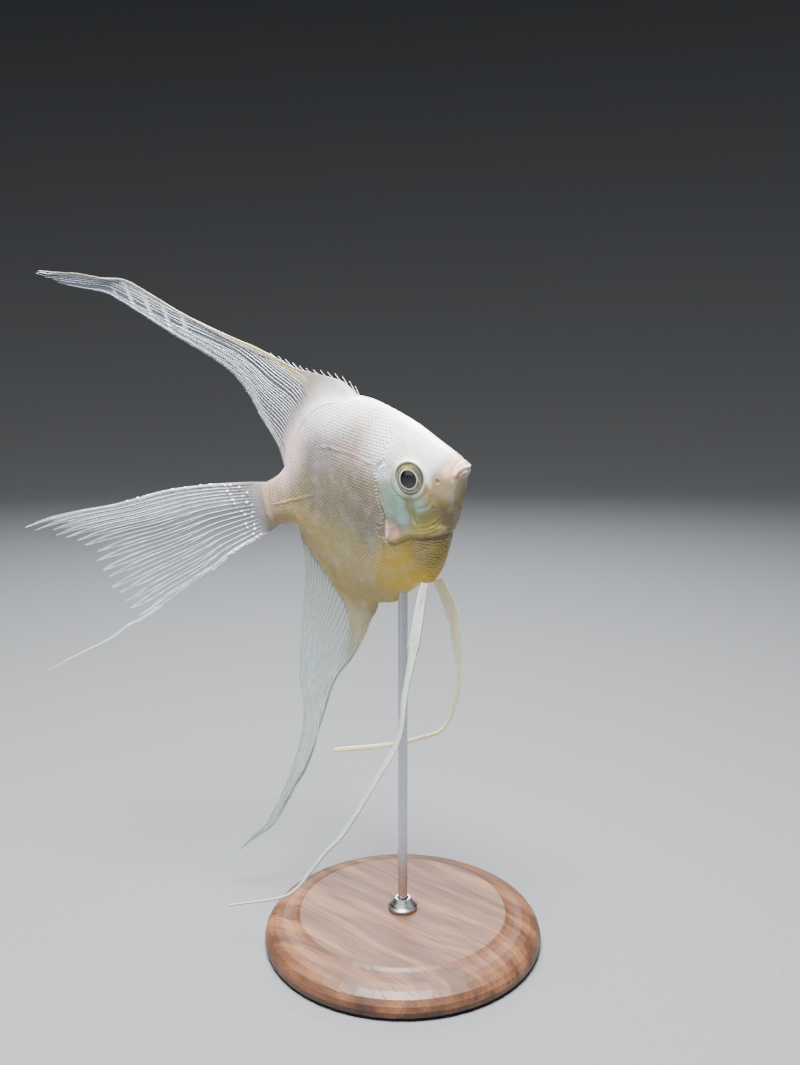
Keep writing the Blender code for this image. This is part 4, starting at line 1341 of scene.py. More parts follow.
def make_ray_tree():
    """Lines become jointed rods: evenly divided, pinched at each joint, and capped."""
    tree, given = new_group(
        "Jointed rays", "GeometryNodeTree",
        {"Geometry": "Geometry", "Step": 0.0004, "Joint length": 0.0009, "Joint depth": 0.25, "Sides": 6,
         "Material": "Material"},
        {"Geometry": "Geometry"})
    lines = make(tree, "GeometryNodeMeshToCurve", {0: given["Geometry"]})
    lines = make(tree, "GeometryNodeResampleCurve", {0: lines, 3: given["Step"]}, mode="LENGTH")
    length = make(tree, "GeometryNodeSplineParameter", None, "Length")
    beat = calc("FRACT", length / given["Joint length"])
    beat = calc("ABSOLUTE", beat * 2.0 - 1.0)
    pinch = calc("POWER", beat, 3.0) * given["Joint depth"]
    radius = named(tree, "thick", "FLOAT") * (1.0 - pinch)
    ring = make(tree, "GeometryNodeCurvePrimitiveCircle", {0: given["Sides"], 4: 1.0})
    rods = make(tree, "GeometryNodeCurveToMesh", {0: lines, 1: ring, 2: radius, 3: True})
    rods = make(tree, "GeometryNodeSetShadeSmooth", {0: rods})
    rods = make(tree, "GeometryNodeRealizeInstances", {0: rods})
    rods = make(tree, "GeometryNodeSetMaterial", {0: rods, 2: given["Material"]})
    return give(tree, Geometry=rods)


ray_tree = make_ray_tree()


def make_rays(name, strands, material, step=0.0004, joint=0.0009, depth=0.25, sides=6):
    """Strands as rods with joints."""
    source = ray_mesh(name + "_lines", strands)
    values = {"Step": step, "Joint length": joint, "Joint depth": depth, "Sides": sides, "Material": material}
    rays = grow(name, source, ray_tree, values)
    keep_attributes(rays.data, ("fin",))
    return rays


# %% [markdown]
# ## The finish of fins
#
# Film is nearly clear away from the body, and turns opaque and takes the body's own
# colours where flesh runs into the root. One group works out both from the fin place;
# each fin gives it its own tint, its own clearness and, on the dorsal streamer, the pale
# blue bars that cross it.


# %% Film and ray materials
BAR_STEP = 0.062


def make_film_group():
    """Film, flesh, pale bars, milky front and ridges between the rays, from the fin place."""
    tree, given = new_group(
        "Fin film", "ShaderNodeTree",
        {"Film": "Color", "Flesh": "Color", "Clear": 0.35, "Milky": 0.9, "Flesh in front": 0.30,
         "Flesh behind": 0.05, "Bars": 0.0, "Ridges": 0.0, "Ridge start": 0.0, "Front milk": 0.0,
         "Milk tint": "Color"},
        {"Color": "Color", "Alpha": "Float"})
    fin = read(tree, "fin")
    across, out, _ = fin.split()
    streak = noise(fin * (60.0, 9.0, 0.0), 1.0, 3.0)
    cloud = noise(fin * (5.0, 4.0, 0.0), 1.0, 2.0)
    behind = ramp(across, 0.12, 0.62)
    ends = make(tree, "ShaderNodeMix", {0: behind, 2: given["Flesh in front"], 3: given["Flesh behind"]})
    uneven = (streak - 0.5) * (ends * 0.9)
    flesh = ramp(out + uneven, ends * 0.45, ends, 1.0, 0.0)
    slant = calc("MULTIPLY_ADD", across, 0.13, calc("MULTIPLY_ADD", streak, 0.012, out))
    beat = calc("SINE", slant * (2.0 * math.pi / BAR_STEP))
    bars = (ramp(beat, 0.45, 0.95) * ramp(out, 0.48, 0.54) * ramp(across, 0.1, 0.3, 0.45, 1.0)
            * ramp(out, 0.8, 0.72) * given["Bars"])
    in_front = ramp(calc("MULTIPLY_ADD", out, 0.3, across), 0.62, 0.44)
    milk = in_front * ramp(out, 0.05, 0.25) * given["Front milk"]
    shade = blend(flesh, given["Film"], given["Flesh"])
    shade = blend(milk * 1.5, shade, given["Milk tint"])
    shade = blend(bars, shade, (214, 230, 246))
    turns = (across - given["Ridge start"]) * given["Ridges"]
    wave = calc("COSINE", turns * (2.0 * math.pi))
    gap = ramp(wave, -0.3, 0.6) * ramp(out, 0.03, 0.045) * calc("MINIMUM", given["Ridges"], 0.6)
    shade = blend(gap, shade, blend(0.65, shade, (104, 106, 114)))
    clear = given["Clear"] * (streak * 1.0 + cloud * 0.8 + 0.1)
    alpha = clear * (1.0 - flesh) + given["Milky"] * flesh
    alpha = calc("MAXIMUM", alpha + milk, bars * 0.85)
    return give(tree, Color=shade, Alpha=calc("MINIMUM", calc("MAXIMUM", alpha, 0.01), 1.0))


film_group = make_film_group()


def make_film_material(name, film, flesh, clear, milky=1.0, flesh_ends=(0.15, 0.15), bars=0.0,
                       ridges=(0.0, 0.0), milk=0.0, milk_tint=(226, 226, 234), gloss=0.35):
    """Film of one tint; its flesh is one colour, or the body's own markings where none is given."""
    material, tree = new_material(name, Roughness=0.42, Specular_IOR_Level=gloss)
    flesh = flesh or body_finish(tree)[1]["Color"]
    feeds = {"Film": film, "Flesh": flesh, "Clear": clear, "Milky": milky, "Bars": bars,
             "Flesh in front": flesh_ends[0], "Flesh behind": flesh_ends[1], "Ridges": ridges[0],
             "Ridge start": ridges[1], "Front milk": milk, "Milk tint": milk_tint}
    made = use_group(tree, film_group, feeds)
    ripple = noise(read(tree, "fin") * (110.0, 30.0, 0.0), 1.0, 2.0)
    return finish(material, Base_Color=made["Color"],
                  Alpha=made["Alpha"],
                  Normal=bump(ripple, 0.00003, 0.4))


def make_ray_material(name, pale, dull, root, root_end=0.20, alpha=1.0, gold=0.0, coat=0.2):
    """Milky rods: of the flesh's colour at the root, and duller in places further out."""
    material, tree = new_material(name, Roughness=0.34, Coat_Weight=coat, Coat_Roughness=0.15, Alpha=alpha)
    fin = read(tree, "fin")
    across, out, _ = fin.split()
    cloud = noise(fin * (40.0, 14.0, 6.0), 1.0, 3.0)
    shade = blend(ramp(cloud, 0.36, 0.66), dull, pale)
    shade = blend(ramp(out, root_end, 0.15 * root_end), shade, root)
    off_front = calc("MULTIPLY_ADD", out, 0.36, across) - 0.42
    front = (ramp(calc("ABSOLUTE", off_front), 0.15, 0.05) * ramp(out, 0.06, 0.16)
             * ramp(out, 0.8, 0.6) * gold)
    return finish(material, Base_Color=blend(front, shade, (228, 192, 100)))


WHITE_RAYS = make_ray_material("white_rays", (236, 240, 246), (196, 204, 216), (232, 222, 210), gold=0.85)
ANAL_RAYS = make_ray_material("anal_rays", (214, 230, 226), (166, 184, 184), (172, 150, 104), 0.34)
TAIL_RAYS = make_ray_material("tail_rays", (244, 246, 250), (184, 192, 206), (138, 134, 130), 0.30)
FAINT_RAYS = make_ray_material("faint_rays", (150, 160, 166), (140, 148, 152), (130, 124, 108), alpha=0.06,
                               coat=0.0)
dorsal_film = make_film_material("dorsal_film", (150, 160, 178), None, 0.16, flesh_ends=(0.34, 0.085),
                                 bars=1.0, ridges=(44.04, 0.4286), milk=0.80, milk_tint=(238, 230, 204))
anal_film = make_film_material("anal_film", (120, 158, 150), None, 0.20, flesh_ends=(0.36, 0.065),
                               ridges=(31.07, 0.14))
tail_film = make_film_material("tail_film", (150, 160, 180), None, 0.10, ridges=(16.0, 0.0), milk=0.22)
# painted shade: the pectoral film is given a darker grey than clear film has, so the fan over the flank is no
# lighter than the shaded flank behind it
clear_film = make_film_material("pectoral_film", (130, 142, 150), (130, 126, 110), 0.018, milky=0.05,
                                flesh_ends=(0.04, 0.04), gloss=0.05)
near_blade = make_film_material("feeler_film_right", (174, 184, 178), (196, 200, 190), 1.0,
                                flesh_ends=(0.05, 0.05))
far_blade = make_film_material("feeler_film_left", (248, 240, 194), (246, 232, 180), 1.0,
                               flesh_ends=(0.10, 0.10))
print("fin finishes are ready")

# %% [markdown]
# ## Dorsal and anal fins
#
# Both begin with stiff spines whose tips stand free of the film like the teeth of a comb,
# and go on as soft rays that fork. The foremost soft rays run out into the streamer; the
# rest end along the rear edge, shorter and shorter towards the tail.


# %% Spines and soft rays
def spines(count, base, front, base_end, reach, thick, free, outward):
    """Stiff rays from the front of the root to points that stand free of the front edge."""
    strands = []
    for i in range(count):
        share = (i + 0.3) / count
        root = base(np.array(base_end * share))
        t = reach[0] + (reach[1] - reach[0]) * share ** 1.1
        run = front(np.array(t + 0.01)) - front(np.array(t - 0.01))
        run /= np.linalg.norm(run)
        out = outward * np.array((-run[1], run[0]))
        tip = front(np.array(t)) + free * (out + 0.35 * run)
        knee = front(np.array(t)) - 0.9 * free * out - 2.2 * free * run
        x = np.linspace(0.0, 1.0, 22)[:, None]
        path = (1 - x) ** 2 * root + 2.0 * x * (1 - x) * (0.35 * root + 0.65 * knee) + x * x * tip
        x = x[:, 0]
        weight = thick * (1.0 - 0.72 * x ** 2)
        fin = np.stack([base_end * share * (1.0 - x), t * x, x], axis=-1)
        strands.append((place(path[:, 0], path[:, 1]), weight, fin))
    return strands


def soft_rays(count, base_start, to_tip, rear_last_t, thick, spread):
    """Forked rays, the first to the streamer's tip and the others to the rear edge."""
    lines = []
    for i in range(count):
        share = i / (count - 1)
        start = base_start + (0.985 - base_start) * share
        if share < to_tip:
            end = (0.06 + 0.86 * share / to_tip, 1.0 - 0.06 * ((i * 7) % 3) / 2.0)
        else:
            rest = (share - to_tip) / (1.0 - to_tip)
            end = (0.985, 0.95 - (0.95 - rear_last_t) * rest ** 0.75)
        slim = 1.0 - 0.35 * share
        lines += forked(start, end, spread * (0.6 + 0.4 * slim), (0.42, 0.72), thick * slim, 0.30)
    return lines


def frayed(a):
    """The film ends a little before the rays do, most of all at its two edges."""
    return 0.985 - 0.055 * np.abs(2.0 * a - 1.0) ** 1.5 - 0.018 * np.abs(np.sin(a * 26.0))


def make_upright_fins():
    """Film and rays of the dorsal and the anal fin."""
    dorsal = spines(13, dorsal_base, edge_from(dorsal_base, 0.0, DORSAL_FRONT), base_end=0.42,
                    reach=(0.05, 0.36), thick=0.00016, free=0.019, outward=1.0)
    dorsal += on_sheet(dorsal_sheet, soft_rays(25, 0.44, 0.36, rear_last_t=0.17, thick=0.00015, spread=0.008))
    anal = spines(6, anal_base, edge_from(anal_base, 0.0, ANAL_FRONT), base_end=0.28, reach=(0.05, 0.16),
                  thick=0.00014, free=0.008, outward=-1.0)
    anal += on_sheet(anal_sheet, soft_rays(28, 0.14, 0.40, rear_last_t=0.16, thick=0.00015, spread=0.009))
    fins = []
    for name, sheet, strands, film, rays, half, outline in (
            ("dorsal", dorsal_sheet, dorsal, dorsal_film, WHITE_RAYS, dorsal_root, dorsal_outline),
            ("anal", anal_sheet, anal, anal_film, ANAL_RAYS, anal_root, anal_outline)):
        sheet_film = make_film(name + "_film", sheet, 96, 150, film, half, outline, frayed)
        fins.append((sheet_film, "fin", (name + "_fin",)))
        fins.append((make_rays(name + "_rays", strands, rays, 0.0005), "fin", ()))
    return fins


upright_fins = make_upright_fins()
print("dorsal and anal fins:", [len(p.data.polygons) for p, _, _ in upright_fins])

# %% [markdown]
# ## Tail fin
#
# The tail has sixteen main rays that fork twice, and a few short ones along each edge.
# Their ends stand free of the film, which gives the frayed margin. The lowest rays run
# on as a thin streamer. Small white knobs sit on the rays near the root and along the
# upper edge.


# %% Tail rays, streamer and knobs
TAIL_RAY_COUNT = 16


def tail_lines():
    """The main rays, and the short stiff ones that crowd along both edges."""
    lines = []
    for i in range(TAIL_RAY_COUNT):
        a = (i + 0.5) / TAIL_RAY_COUNT
        ragged = 0.030 * math.sin(i * 2.4) + 0.018 * math.sin(i * 5.1)
        middle = 1.0 - abs(2.0 * a - 1.0)
        end = (a + 0.004 * math.sin(i * 3.0), 0.985 + ragged)
        lines += forked(a, end, 0.0165, (0.27, 0.62), 0.00019 - 0.00003 * middle, tip_thick=0.40,
                        overshoot=0.02, steps=44, tuft=0.85)
    for edge, way in ((0.0, 1.0), (1.0, -1.0)):
        for k in range(4):
            start = edge + way * (0.004 + 0.012 * k)
            x = np.linspace(0.0, 1.0, 20)
            lines.append((start - way * 0.010 * x, (0.25 + 0.25 * k) * x, 0.00021 * (1.0 - 0.45 * x), x))
    return lines


STREAMER = [(1.500, -0.290), (1.600, -0.330), (1.664, -0.347), (1.749, -0.385), (1.909, -0.424),
            (2.026, -0.458)]


def streamer_sheet(a, t):
    """The lowest rays bundled into a thread."""
    path = along(STREAMER)
    at = path(np.clip(t, 0.0, 1.0))
    offset = (np.asarray(a, float) - 0.5) * 0.014 * (1.0 - 0.75 * t)
    points = place(at[..., 0], at[..., 1] + offset)
    return points, np.broadcast_to(np.array((0.0, -1.0, 0.0)), points.shape)


def make_knob_tree():
    """A small bead of its own size on every point."""
    tree, given = new_group(
        "Beads", "GeometryNodeTree",
        {"Geometry": "Geometry", "Size": 0.0002, "Seed": 3, "Material": "Material"}, {"Geometry": "Geometry"})
    ball = make(tree, "GeometryNodeMeshIcoSphere", {0: given["Size"], 1: 3})
    ball = make(tree, "GeometryNodeSetShadeSmooth", {0: ball})
    vary = make(tree, "FunctionNodeRandomValue", {2: 0.7, 3: 1.25, 8: given["Seed"]}, 1)
    feeds = {"Points": given["Geometry"], "Instance": ball, "Scale": vary}
    beads = make(tree, "GeometryNodeInstanceOnPoints", feeds)
    beads = make(tree, "GeometryNodeRealizeInstances", {0: beads})
    beads = make(tree, "GeometryNodeSetMaterial", {0: beads, 2: given["Material"]})
    return give(tree, Geometry=beads)


def make_knobs(material):
    """Small beads on the rays near the root and along the upper edge."""
    generator = np.random.default_rng(11)
    spots = []
    for i in range(TAIL_RAY_COUNT):
        a = (i + 0.5) / TAIL_RAY_COUNT
        for row, t in enumerate((0.155, 0.205)):
            if (i + row) % 3 != 2:
                spots.append((a + 0.004 * generator.normal(), t + 0.016 * generator.normal()
                              - 0.05 * (a - 0.5) ** 2))
    spots += [(0.012, 0.20 + 0.045 * k + 0.008 * generator.normal()) for k in range(9)]
    spots += [(0.975, 0.22 + 0.030 * k + 0.006 * generator.normal()) for k in range(6)]
    a, t = np.array(spots).T
    points, side = tail_sheet(a, t)
    seeds = np.concatenate([points + 0.00012 * side, points - 0.00012 * side])
    mesh = bpy.data.meshes.new("knob_places")
    mesh.from_pydata(to_room(seeds).tolist(), [], [])
    return grow("tail_knobs", mesh, make_knob_tree(), {"Size": 0.00031, "Seed": 3, "Material": material})


def tail_cut(a):
    """The film stops short of the rays' ends, and is notched between them."""
    along_rays = np.abs(np.sin(math.pi * TAIL_RAY_COUNT * a)) ** 1.3
    return 0.875 + 0.085 * along_rays + 0.020 * np.sin(a * 41.0)


def make_tail():
    """Film, rays, streamer and knobs."""
    bead, _ = new_material("white_knobs", Base_Color=(244, 242, 240), Roughness=0.3, Coat_Weight=0.4)
    streamer = make_ray_material("streamer_rays", (226, 230, 234), (186, 192, 198), (200, 204, 208))
    thread = []
    for k in range(4):
        x = np.linspace(0.0, 1.0, 40)
        thick = (0.00010 + 0.00010 * x * (1.0 - x)) * (0.3 + 0.7 * ease(0.0, 0.15, x))
        thread.append((0.14 + 0.24 * k + 0.0 * x, (1.0 - 0.14 * k) * x, thick, x))
    film = make_film("tail_film", tail_sheet, 128, 90, tail_film, tail_root, tail_outline, tail_cut)
    return [(film, "fin", ("tail_fin",)),
            (make_rays("tail_rays", on_sheet(tail_sheet, tail_lines()), TAIL_RAYS), "fin", ()),
            (make_rays("tail_streamer", on_sheet(streamer_sheet, thread), streamer), "fin", ()),
            (make_knobs(bead), "fin", ())]


tail_pieces = make_tail()
print("tail:", [len(p.data.polygons) for p, _, _ in tail_pieces])

# %% [markdown]
# ## Pectoral fins and feelers
#
# The pectoral fins are the clearest of all: thirteen hair-thin rays in film that hardly
# shows. The feelers are the first rays of the pelvic fins, drawn out into long white
# blades. Their shorter rays end one after another, each leaving a small step in the
# blade, until a single thread runs on.


# %% Fans and blades
PECTORAL_RAY_COUNT = 13


def make_side_fins():
    """A fan of film and rays behind each gill cover."""
    fins = []
    for side, sign in SIDES:
        fan = pectoral_sheet(sign)
        lines = []
        for i in range(PECTORAL_RAY_COUNT):
            a = (i + 0.5) / PECTORAL_RAY_COUNT
            lines += forked(a, (a, 0.985), 0.014, (0.55, 1.0), 0.00007, steps=30)
        film = make_film("pectoral_film_" + side, fan, 54, 40, clear_film,
                         lambda a, t: 0.00004 + 0.0003 * (1.0 - ease(0.0, 0.2, t)) + 0.0 * a)
        fins.append((film, "clear_fin", ("pectoral_fin_" + side,)))
        fins.append((make_rays("pectoral_rays_" + side, on_sheet(fan, lines), FAINT_RAYS), "clear_fin", ()))
    return fins


# for each ray of the right and the left feeler: where it starts across the blade, and its share of the way
RIGHT_RAYS = [(0.18, 1.0), (0.40, 0.62), (0.60, 0.30), (0.80, 0.20), (0.94, 0.155)]
LEFT_RAYS = [(0.80, 1.0), (0.62, 0.55), (0.42, 0.29), (0.08, 0.275), (0.94, 0.145)]


def make_feelers():
    """Blades of film with a few rays. Long rays lean to the middle; short ones flare where they end."""
    feelers = []
    white = make_ray_material("feeler_rays_right", (212, 218, 212), (182, 192, 188), (220, 224, 218))
    cream = make_ray_material("feeler_rays_left", (250, 246, 216), (230, 222, 186), (242, 236, 200))
    for side, points, widths, material, blade_film, rays in (
            ("right", FEELER_RIGHT, RIGHT_WIDTHS, white, near_blade, RIGHT_RAYS),
            ("left", FEELER_LEFT, LEFT_WIDTHS, cream, far_blade, LEFT_RAYS)):
        blade = feeler_sheet(points, widths)
        lines = []
        for a, end in rays:
            x = np.linspace(0.0, 1.0, int(30 + 90 * end))
            lean = a + (0.5 - a) * ease(0.35, 1.0, x) * (end > 0.5)
            flare = (a - 0.5) * 0.55 * ease(0.86, 1.0, x) * (end < 0.5)
            thick, taper = (0.00034, 1.0) if end == 1.0 else (0.00028, 3.0)
            lines.append((lean + flare, end * x, thick * (1.0 - 0.62 * x ** taper), x))
        film = make_film("feeler_blade_" + side, blade, 9, 150, blade_film,
                         lambda a, t: 0.00014 + 0.0002 * (1.0 - ease(0.0, 0.1, t)) + 0.0 * a)
        feelers.append((film, "feeler", ("pelvic_fin_" + side,)))
        rays = make_rays("feeler_rays_" + side, on_sheet(blade, lines), material, step=0.0005, joint=0.0016,
                         depth=0.12, sides=8)
        feelers.append((rays, "feeler", ()))
    return feelers


side_fins = make_side_fins()
feelers = make_feelers()
print("side fins and feelers:", [len(p.data.polygons) for p, _, _ in side_fins + feelers])

# %% [markdown]
# ## Eyes
#
# The eye gives the fish its life, so it is built in layers as a real one is: a ring of
# skin round the orbit, a shallow iris that slopes in to the pupil, a dark lens that
# stands in the pupil, and a clear cornea over them. Each layer is a turned profile, and
# the iris is coloured by its distance and direction from the middle.

# %% Turned layers of the eye
EYE_DEPTH = 0.030
EYE_STANDS_OUT = 0.012
EYE_TURN = math.radians(9.0)
PUPIL = 0.0318
# distance from the eye's axis, and height over its middle plane
EYEBALL = [
    (0.0, 0.0272), (0.008, 0.0270), (0.016, 0.0262), (0.022, 0.0254), (0.0296, 0.0236), (PUPIL, 0.0222),
    (0.0327, 0.0237), (0.0342, 0.0246), (0.0365, 0.0240), (0.0390, 0.0228), (0.0420, 0.0210),
    (0.0465, 0.0184), (0.0515, 0.0152), (0.0540, 0.0132), (0.0555, 0.0128), (0.0568, 0.0146),
    (0.0590, 0.0166), (0.0620, 0.0172), (0.0655, 0.0160), (0.0690, 0.0124), (0.0710, 0.0060),
]
CORNEA = [
    (0.0, 0.0318), (0.010, 0.0313), (0.020, 0.0299), (0.030, 0.0275), (0.040, 0.0237), (0.048, 0.0192),
    (0.0535, 0.0150), (0.0558, 0.0122),
]
EYE_RADIUS = EYEBALL[-1][0]
EYE_SPOKES = 96


def turned_layer(name, profile_points, sign, material, closing_height):
    """A closed turned shape round the eye's axis, on one side of the head."""
    path = curve_through(profile_points, 3)
    path[:, 0] = np.maximum(path[:, 0], 0.0)
    centre_w = half_width(*EYE_AT) + EYE_STANDS_OUT - EYE_DEPTH
    middle = place(*EYE_AT, sign * centre_w)
    outwards = np.array((math.sin(EYE_TURN), -sign * math.cos(EYE_TURN), 0.0))
    ahead = np.array((math.cos(EYE_TURN), sign * math.sin(EYE_TURN), 0.0))
    up = np.array((0.0, 0.0, 1.0))
    angles = np.linspace(0.0, 2.0 * math.pi, EYE_SPOKES, endpoint=False)
    rings, where = [], []
    for r, z in list(path[1:]) + [(path[-1][0] * 0.96, closing_height)]:
        x, y = r * np.cos(angles), r * np.sin(angles)
        rings.append(middle + (outwards * z + x[:, None] * ahead + y[:, None] * up) * LENGTH)
        where.append(np.stack([x, y, np.full_like(x, r)], axis=-1))
    tips = [middle + outwards * path[0][1] * LENGTH, middle + outwards * closing_height * LENGTH]
    points = np.concatenate([np.concatenate(rings), tips])
    faces = []
    last = (len(rings) - 1) * EYE_SPOKES
    front_tip = last + EYE_SPOKES
    for i in range(EYE_SPOKES):
        j = (i + 1) % EYE_SPOKES
        faces.append((front_tip, i, j))
        for ring in range(0, last, EYE_SPOKES):
            after = ring + EYE_SPOKES
            faces.append((ring + i, after + i, after + j, ring + j))
        faces.append((front_tip + 1, last + j, last + i))
    layer = make_piece(name, points, faces, material)
    face_outwards(layer.data)
    add_attribute(layer.data, "iris", np.concatenate(where + [[(0.0, 0.0, 0.0), (0.0, 0.0, EYE_RADIUS)]]))
    return layer


# share of the radius, colour: pupil, bright ring, iris and rim
IRIS_BANDS = [
    (0.000, (2, 2, 3)), (0.442, (2, 2, 3)), (0.454, (58, 46, 34)), (0.462, (255, 246, 224)),
    (0.520, (255, 240, 208)), (0.538, (120, 100, 62)), (0.560, (104, 104, 76)), (0.630, (136, 142, 116)),
    (0.690, (148, 156, 136)), (0.735, (164, 166, 146)), (0.772, (118, 116, 96)), (0.800, (176, 172, 150)),
    # the pale rim from 0.850 out: partly the skin ring's own colour and partly a painted highlight
    (0.850, (222, 222, 214)), (1.000, (212, 212, 206)),
]
# name, colour, centre ahead and up, half size, strength
IRIS_PATCHES = [
    ("olive above", (184, 182, 112), (0.000, 0.043), (0.036, 0.013), 0.90),
    ("teal in front", (88, 116, 116), (0.046, 0.004), (0.008, 0.040), 0.85),
    ("peach in front", (226, 164, 112), (0.0370, -0.006), (0.0055, 0.018), 0.75),
    # painted highlight on the lower edge of the iris
    ("painted highlight below", (190, 186, 180), (0.024, -0.044), (0.022, 0.014), 0.85),
    ("grey behind", (150, 150, 132), (-0.044, -0.002), (0.010, 0.034), 0.60),
]


def make_iris_material():
    """Bands by radius, patches by direction, and fine fibres that run out from the pupil."""
    material, tree = new_material("eye_layers", Roughness=0.12, Coat_Weight=0.6, Coat_Roughness=0.03)
    at = read(tree, "iris")
    ahead, up, from_axis = at.split()
    direction = vector_calc("NORMALIZE", at * (1.0, 1.0, 0.0))
    fibres = noise(direction * (14.0, 14.0, 0.0) + at * (0.0, 0.0, 60.0), 1.0, 4.0, 0.6)
    uneven = noise(at * (34.0, 34.0, 0.0), 1.0, 2.0)
    radius = (from_axis + (fibres - 0.5) * 0.0018 + (uneven - 0.5) * 0.003) / EYE_RADIUS
    shade = shade_stops(radius, IRIS_BANDS)
    on_iris = ramp(radius, 0.505, 0.545) * ramp(radius, 0.8, 0.74)
    for _, tint, centre, size, strength in IRIS_PATCHES:
        feeds = {"Place": at, "Centre": (*centre, 0.0), "Half size": (*size, 10.0), "Strength": strength}
        mask = use_group(tree, patch_group, feeds)["Mask"]
        shade = blend(mask * on_iris, shade, tint)
    lower_rear = ramp(ahead + up, -0.03, -0.046)
    arc = ramp(radius, 0.655, 0.68) * ramp(radius, 0.735, 0.705)
    shade = blend(arc * lower_rear * 0.9, shade, (244, 230, 196))
    low = ramp(ahead + up, 0.02, -0.06) * ramp(radius, 0.79, 0.83)
    shade = blend(low * 0.75, shade, (158, 172, 162))
    lines = ramp(fibres, 0.58, 0.36) * (on_iris * 0.5)
    return finish(material, Base_Color=blend(lines, shade, (66, 68, 58)),
                  Roughness=ramp(radius, 0.43, 0.52, 0.04, 0.3),
                  Normal=bump(fibres, 0.00006, 0.4))


def make_cornea_material():
    """Clear as glass, but hardly bending the light, so that the iris keeps its size."""
    return new_material("clear_cornea", Base_Color=(255, 255, 255), Roughness=0.0, IOR=1.12,
                        Transmission_Weight=1.0, Specular_IOR_Level=1.0)[0]


def make_eyes():
    """An eyeball and a cornea on each side."""
    iris, cornea = make_iris_material(), make_cornea_material()
    eyes = []
    for side, sign in SIDES:
        eyes.append((turned_layer("eyeball_" + side, EYEBALL, sign, iris, 0.004), "eye", ("eye_" + side,)))
        eyes.append((turned_layer("cornea_" + side, CORNEA, sign, cornea, 0.0100), "eye", ()))
    return eyes


eyes = make_eyes()
print("eye layers:", [p.name for p, _, _ in eyes])

# %% [markdown]
# ## All pieces
#
# One list holds every piece with its slot in the record and the solids it stands for.

# %% The list of pieces
FLESH = ("head", "trunk", "tail_stem", "gill_cover_right", "gill_cover_left")
PIECES = [(skin, "pearl_trunk", FLESH)]
PIECES += [(coat, "pearl_head" if "face" in coat.name else "pearl_trunk", ()) for coat in coats]
PIECES += upright_fins + tail_pieces + side_fins + feelers + eyes
print("pieces:", len(PIECES))

# %% [markdown]
# ## The stand
#
# The stand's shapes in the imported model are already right: a turned base, a collar and
# a rod. They only need finishes. Walnut is drawn as growth rings cut through by the
# turning, with fine pores along the grain; the steel has brushing round its own axis.

# %% Walnut and brushed steel
def make_walnut():
    """Growth rings from one stretched noise, and pores from a finer one."""
    material, tree = new_material("walnut_base", Roughness=0.5)
    at = make(tree, "ShaderNodeTexCoord", None, "Object")
    bent = wander(at, 18.0, 2.0, (0.012, 0.012, 0.004))
    grain = {"Rotation": (0.0, 0.06, 0.35)}
    rings = make(tree, "ShaderNodeMapping", {"Vector": bent, "Scale": (14.0, 150.0, 90.0), **grain})
    rings = noise(rings, 1.6, 4.0, 0.62)
    pores = make(tree, "ShaderNodeMapping", {"Vector": at, "Scale": (60.0, 1500.0, 900.0), **grain})
    pores = ramp(noise(pores, 1.0, 2.0), 0.56, 0.72)
    shade = shade_stops(rings, [(0.3, (52, 32, 22)), (0.48, (84, 53, 35)), (0.7, (122, 82, 54))])
    return finish(material, Base_Color=blend(pores * 0.55, shade, (30, 19, 14)),
                  Roughness=ramp(pores, 0.0, 1.0, 0.48, 0.62),
                  Normal=bump(pores, 0.00008, -0.4))


def make_steel():
    """Fine brushing round the axis."""
    material, tree = new_material("satin_steel", Metallic=1.0, Roughness=0.28)
    at = make(tree, "ShaderNodeTexCoord", None, "Object")
    lines = make(tree, "ShaderNodeMapping", {"Vector": at, "Scale": (120.0, 120.0, 9000.0)})
    lines = noise(lines, 1.0, 3.0)
    return finish(material, Base_Color=blend(lines, (176, 178, 182), (206, 207, 210)),
                  Roughness=ramp(lines, 0.3, 0.7, 0.22, 0.38),
                  Normal=bump(lines, 0.00001, 0.5))


def dress_stand():
    """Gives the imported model's own stand its finishes."""
    walnut, steel = make_walnut(), make_steel()
    for node, material, slot in (("stand_base", walnut, "walnut"), ("stand_collar", steel, "satin_steel"),
                                 ("stand_rod", steel, "satin_steel")):
        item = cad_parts[node]
        item.data.materials.clear()
        item.data.materials.append(material)


dress_stand()
base_low, base_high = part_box("stand_base")
print("base in mm:", [round(x * 1000, 1) for x in base_high - base_low])

# %% [markdown]
# ## Studio
#
# The floor is a wide pale disc whose rim curves up all round like a bowl, so no horizon
# shows from any side. Soft lights hang round the fish: the main one high above it, two
# weak ones at its sides, and one behind that draws light through the fins.


# %% Floor, lights and camera
def make_floor():
    """A disc, its curved rim and a wall above it, turned from one outline."""
    material, tree = new_material("pale_floor", Roughness=0.85)
    at = make(tree, "ShaderNodeTexCoord", None, "Object")
    speckle = ramp(noise(at, 900.0, 2.0), 0.3, 0.7)
    finish(material, Base_Color=blend(speckle, (102, 105, 109), (108, 111, 115)))
    flat, rim, steps, spokes = 0.9, 0.9, 24, 96
    outline = [(0.3, 0.0), (flat, 0.0)]
    for i in range(1, steps + 1):
        angle = 0.5 * math.pi * i / steps
        outline.append((flat + rim * math.sin(angle), rim * (1.0 - math.cos(angle))))
    outline.append((flat + rim, 2.4))
    points = [(0.0, 0.0, 0.0)]
    for r, z in outline:
        turns = [2.0 * math.pi * k / spokes for k in range(spokes)]
        points += [(r * math.cos(turn), r * math.sin(turn), z) for turn in turns]
    faces = [(0, 1 + k, 1 + (k + 1) % spokes) for k in range(spokes)]
    for start in range(1, 1 + spokes * (len(outline) - 1), spokes):
        for k in range(spokes):
            after = start + (k + 1) % spokes
            faces.append((start + k, start + k + spokes, after + spokes, after))
    floor = add_mesh("studio_floor", points, faces, material)
    return floor


LIGHTS_AIM = (0.0, 0.0, 0.10)
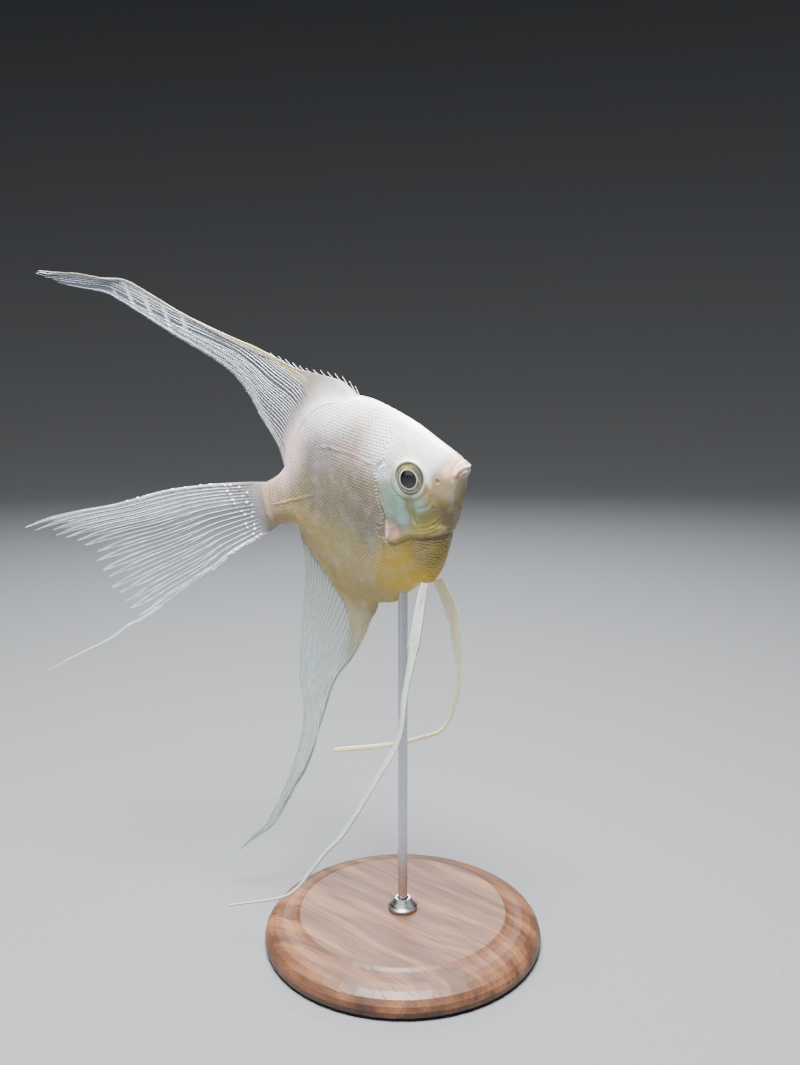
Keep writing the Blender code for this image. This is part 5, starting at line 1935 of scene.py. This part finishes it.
# name, place, width and height, power in watts, tint
LIGHTS = [
    ("main_light", (0.05, -0.11, 0.59), (0.24, 0.24), 22.5, (1.0, 0.985, 0.96)),
    ("fill_light", (0.45, 0.30, 0.25), (0.50, 0.40), 0.4, (0.95, 0.975, 1.0)),
    ("side_light", (-0.10, -0.60, 0.24), (0.40, 0.40), 0.9, (0.97, 0.985, 1.0)),
    ("back_light", (-0.36, 0.36, 0.46), (0.40, 0.30), 5.0, (0.96, 0.98, 1.0)),
]


def light_studio():
    """Soft square lamps that look at the fish, and a dim room round them."""
    for name, at, size, power, tint in LIGHTS:
        lamp = bpy.data.lights.new(name, "AREA")
        lamp.shape = "RECTANGLE"
        lamp.size, lamp.size_y = size
        lamp.energy = power
        lamp.color = tint
        item = add_object(name, lamp)
        item.location = at
        item.rotation_euler = (Vector(LIGHTS_AIM) - Vector(at)).to_track_quat("-Z", "Y").to_euler()
    world = bpy.data.worlds.new("studio")
    world.use_nodes = True
    feed(world.node_tree.nodes["Background"], {"Color": (222, 226, 232), "Strength": 0.09})
    bpy.context.scene.world = world


CAMERA_AT = (0.1640, -0.1891, 0.1521)
CAMERA_TILT, CAMERA_TURN = math.radians(80.0), math.radians(41.1)
LENS, SENSOR_WIDTH = 35.0, 36.0


def add_camera():
    """Just above the fish's eye level and to its right, ahead of its middle."""
    lens = bpy.data.cameras.new("camera")
    lens.lens = LENS
    lens.sensor_width = SENSOR_WIDTH
    lens.clip_start = 0.01
    camera = add_object("camera", lens)
    camera.location = CAMERA_AT
    camera.rotation_euler = (CAMERA_TILT, 0.0, CAMERA_TURN)
    bpy.context.scene.camera = camera


floor = make_floor()
light_studio()
add_camera()
print("floor, lights and camera are in place")

# %% [markdown]
# ## On the model's body
#
# Every piece rides on the model's one body, and the solids that it stands for are hidden.

# %% Ride and replace
for piece, slot, nodes in PIECES:
    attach(piece, "root")
    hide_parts(*nodes)
    print(f"{piece.name}: {len(piece.data.polygons)} faces")
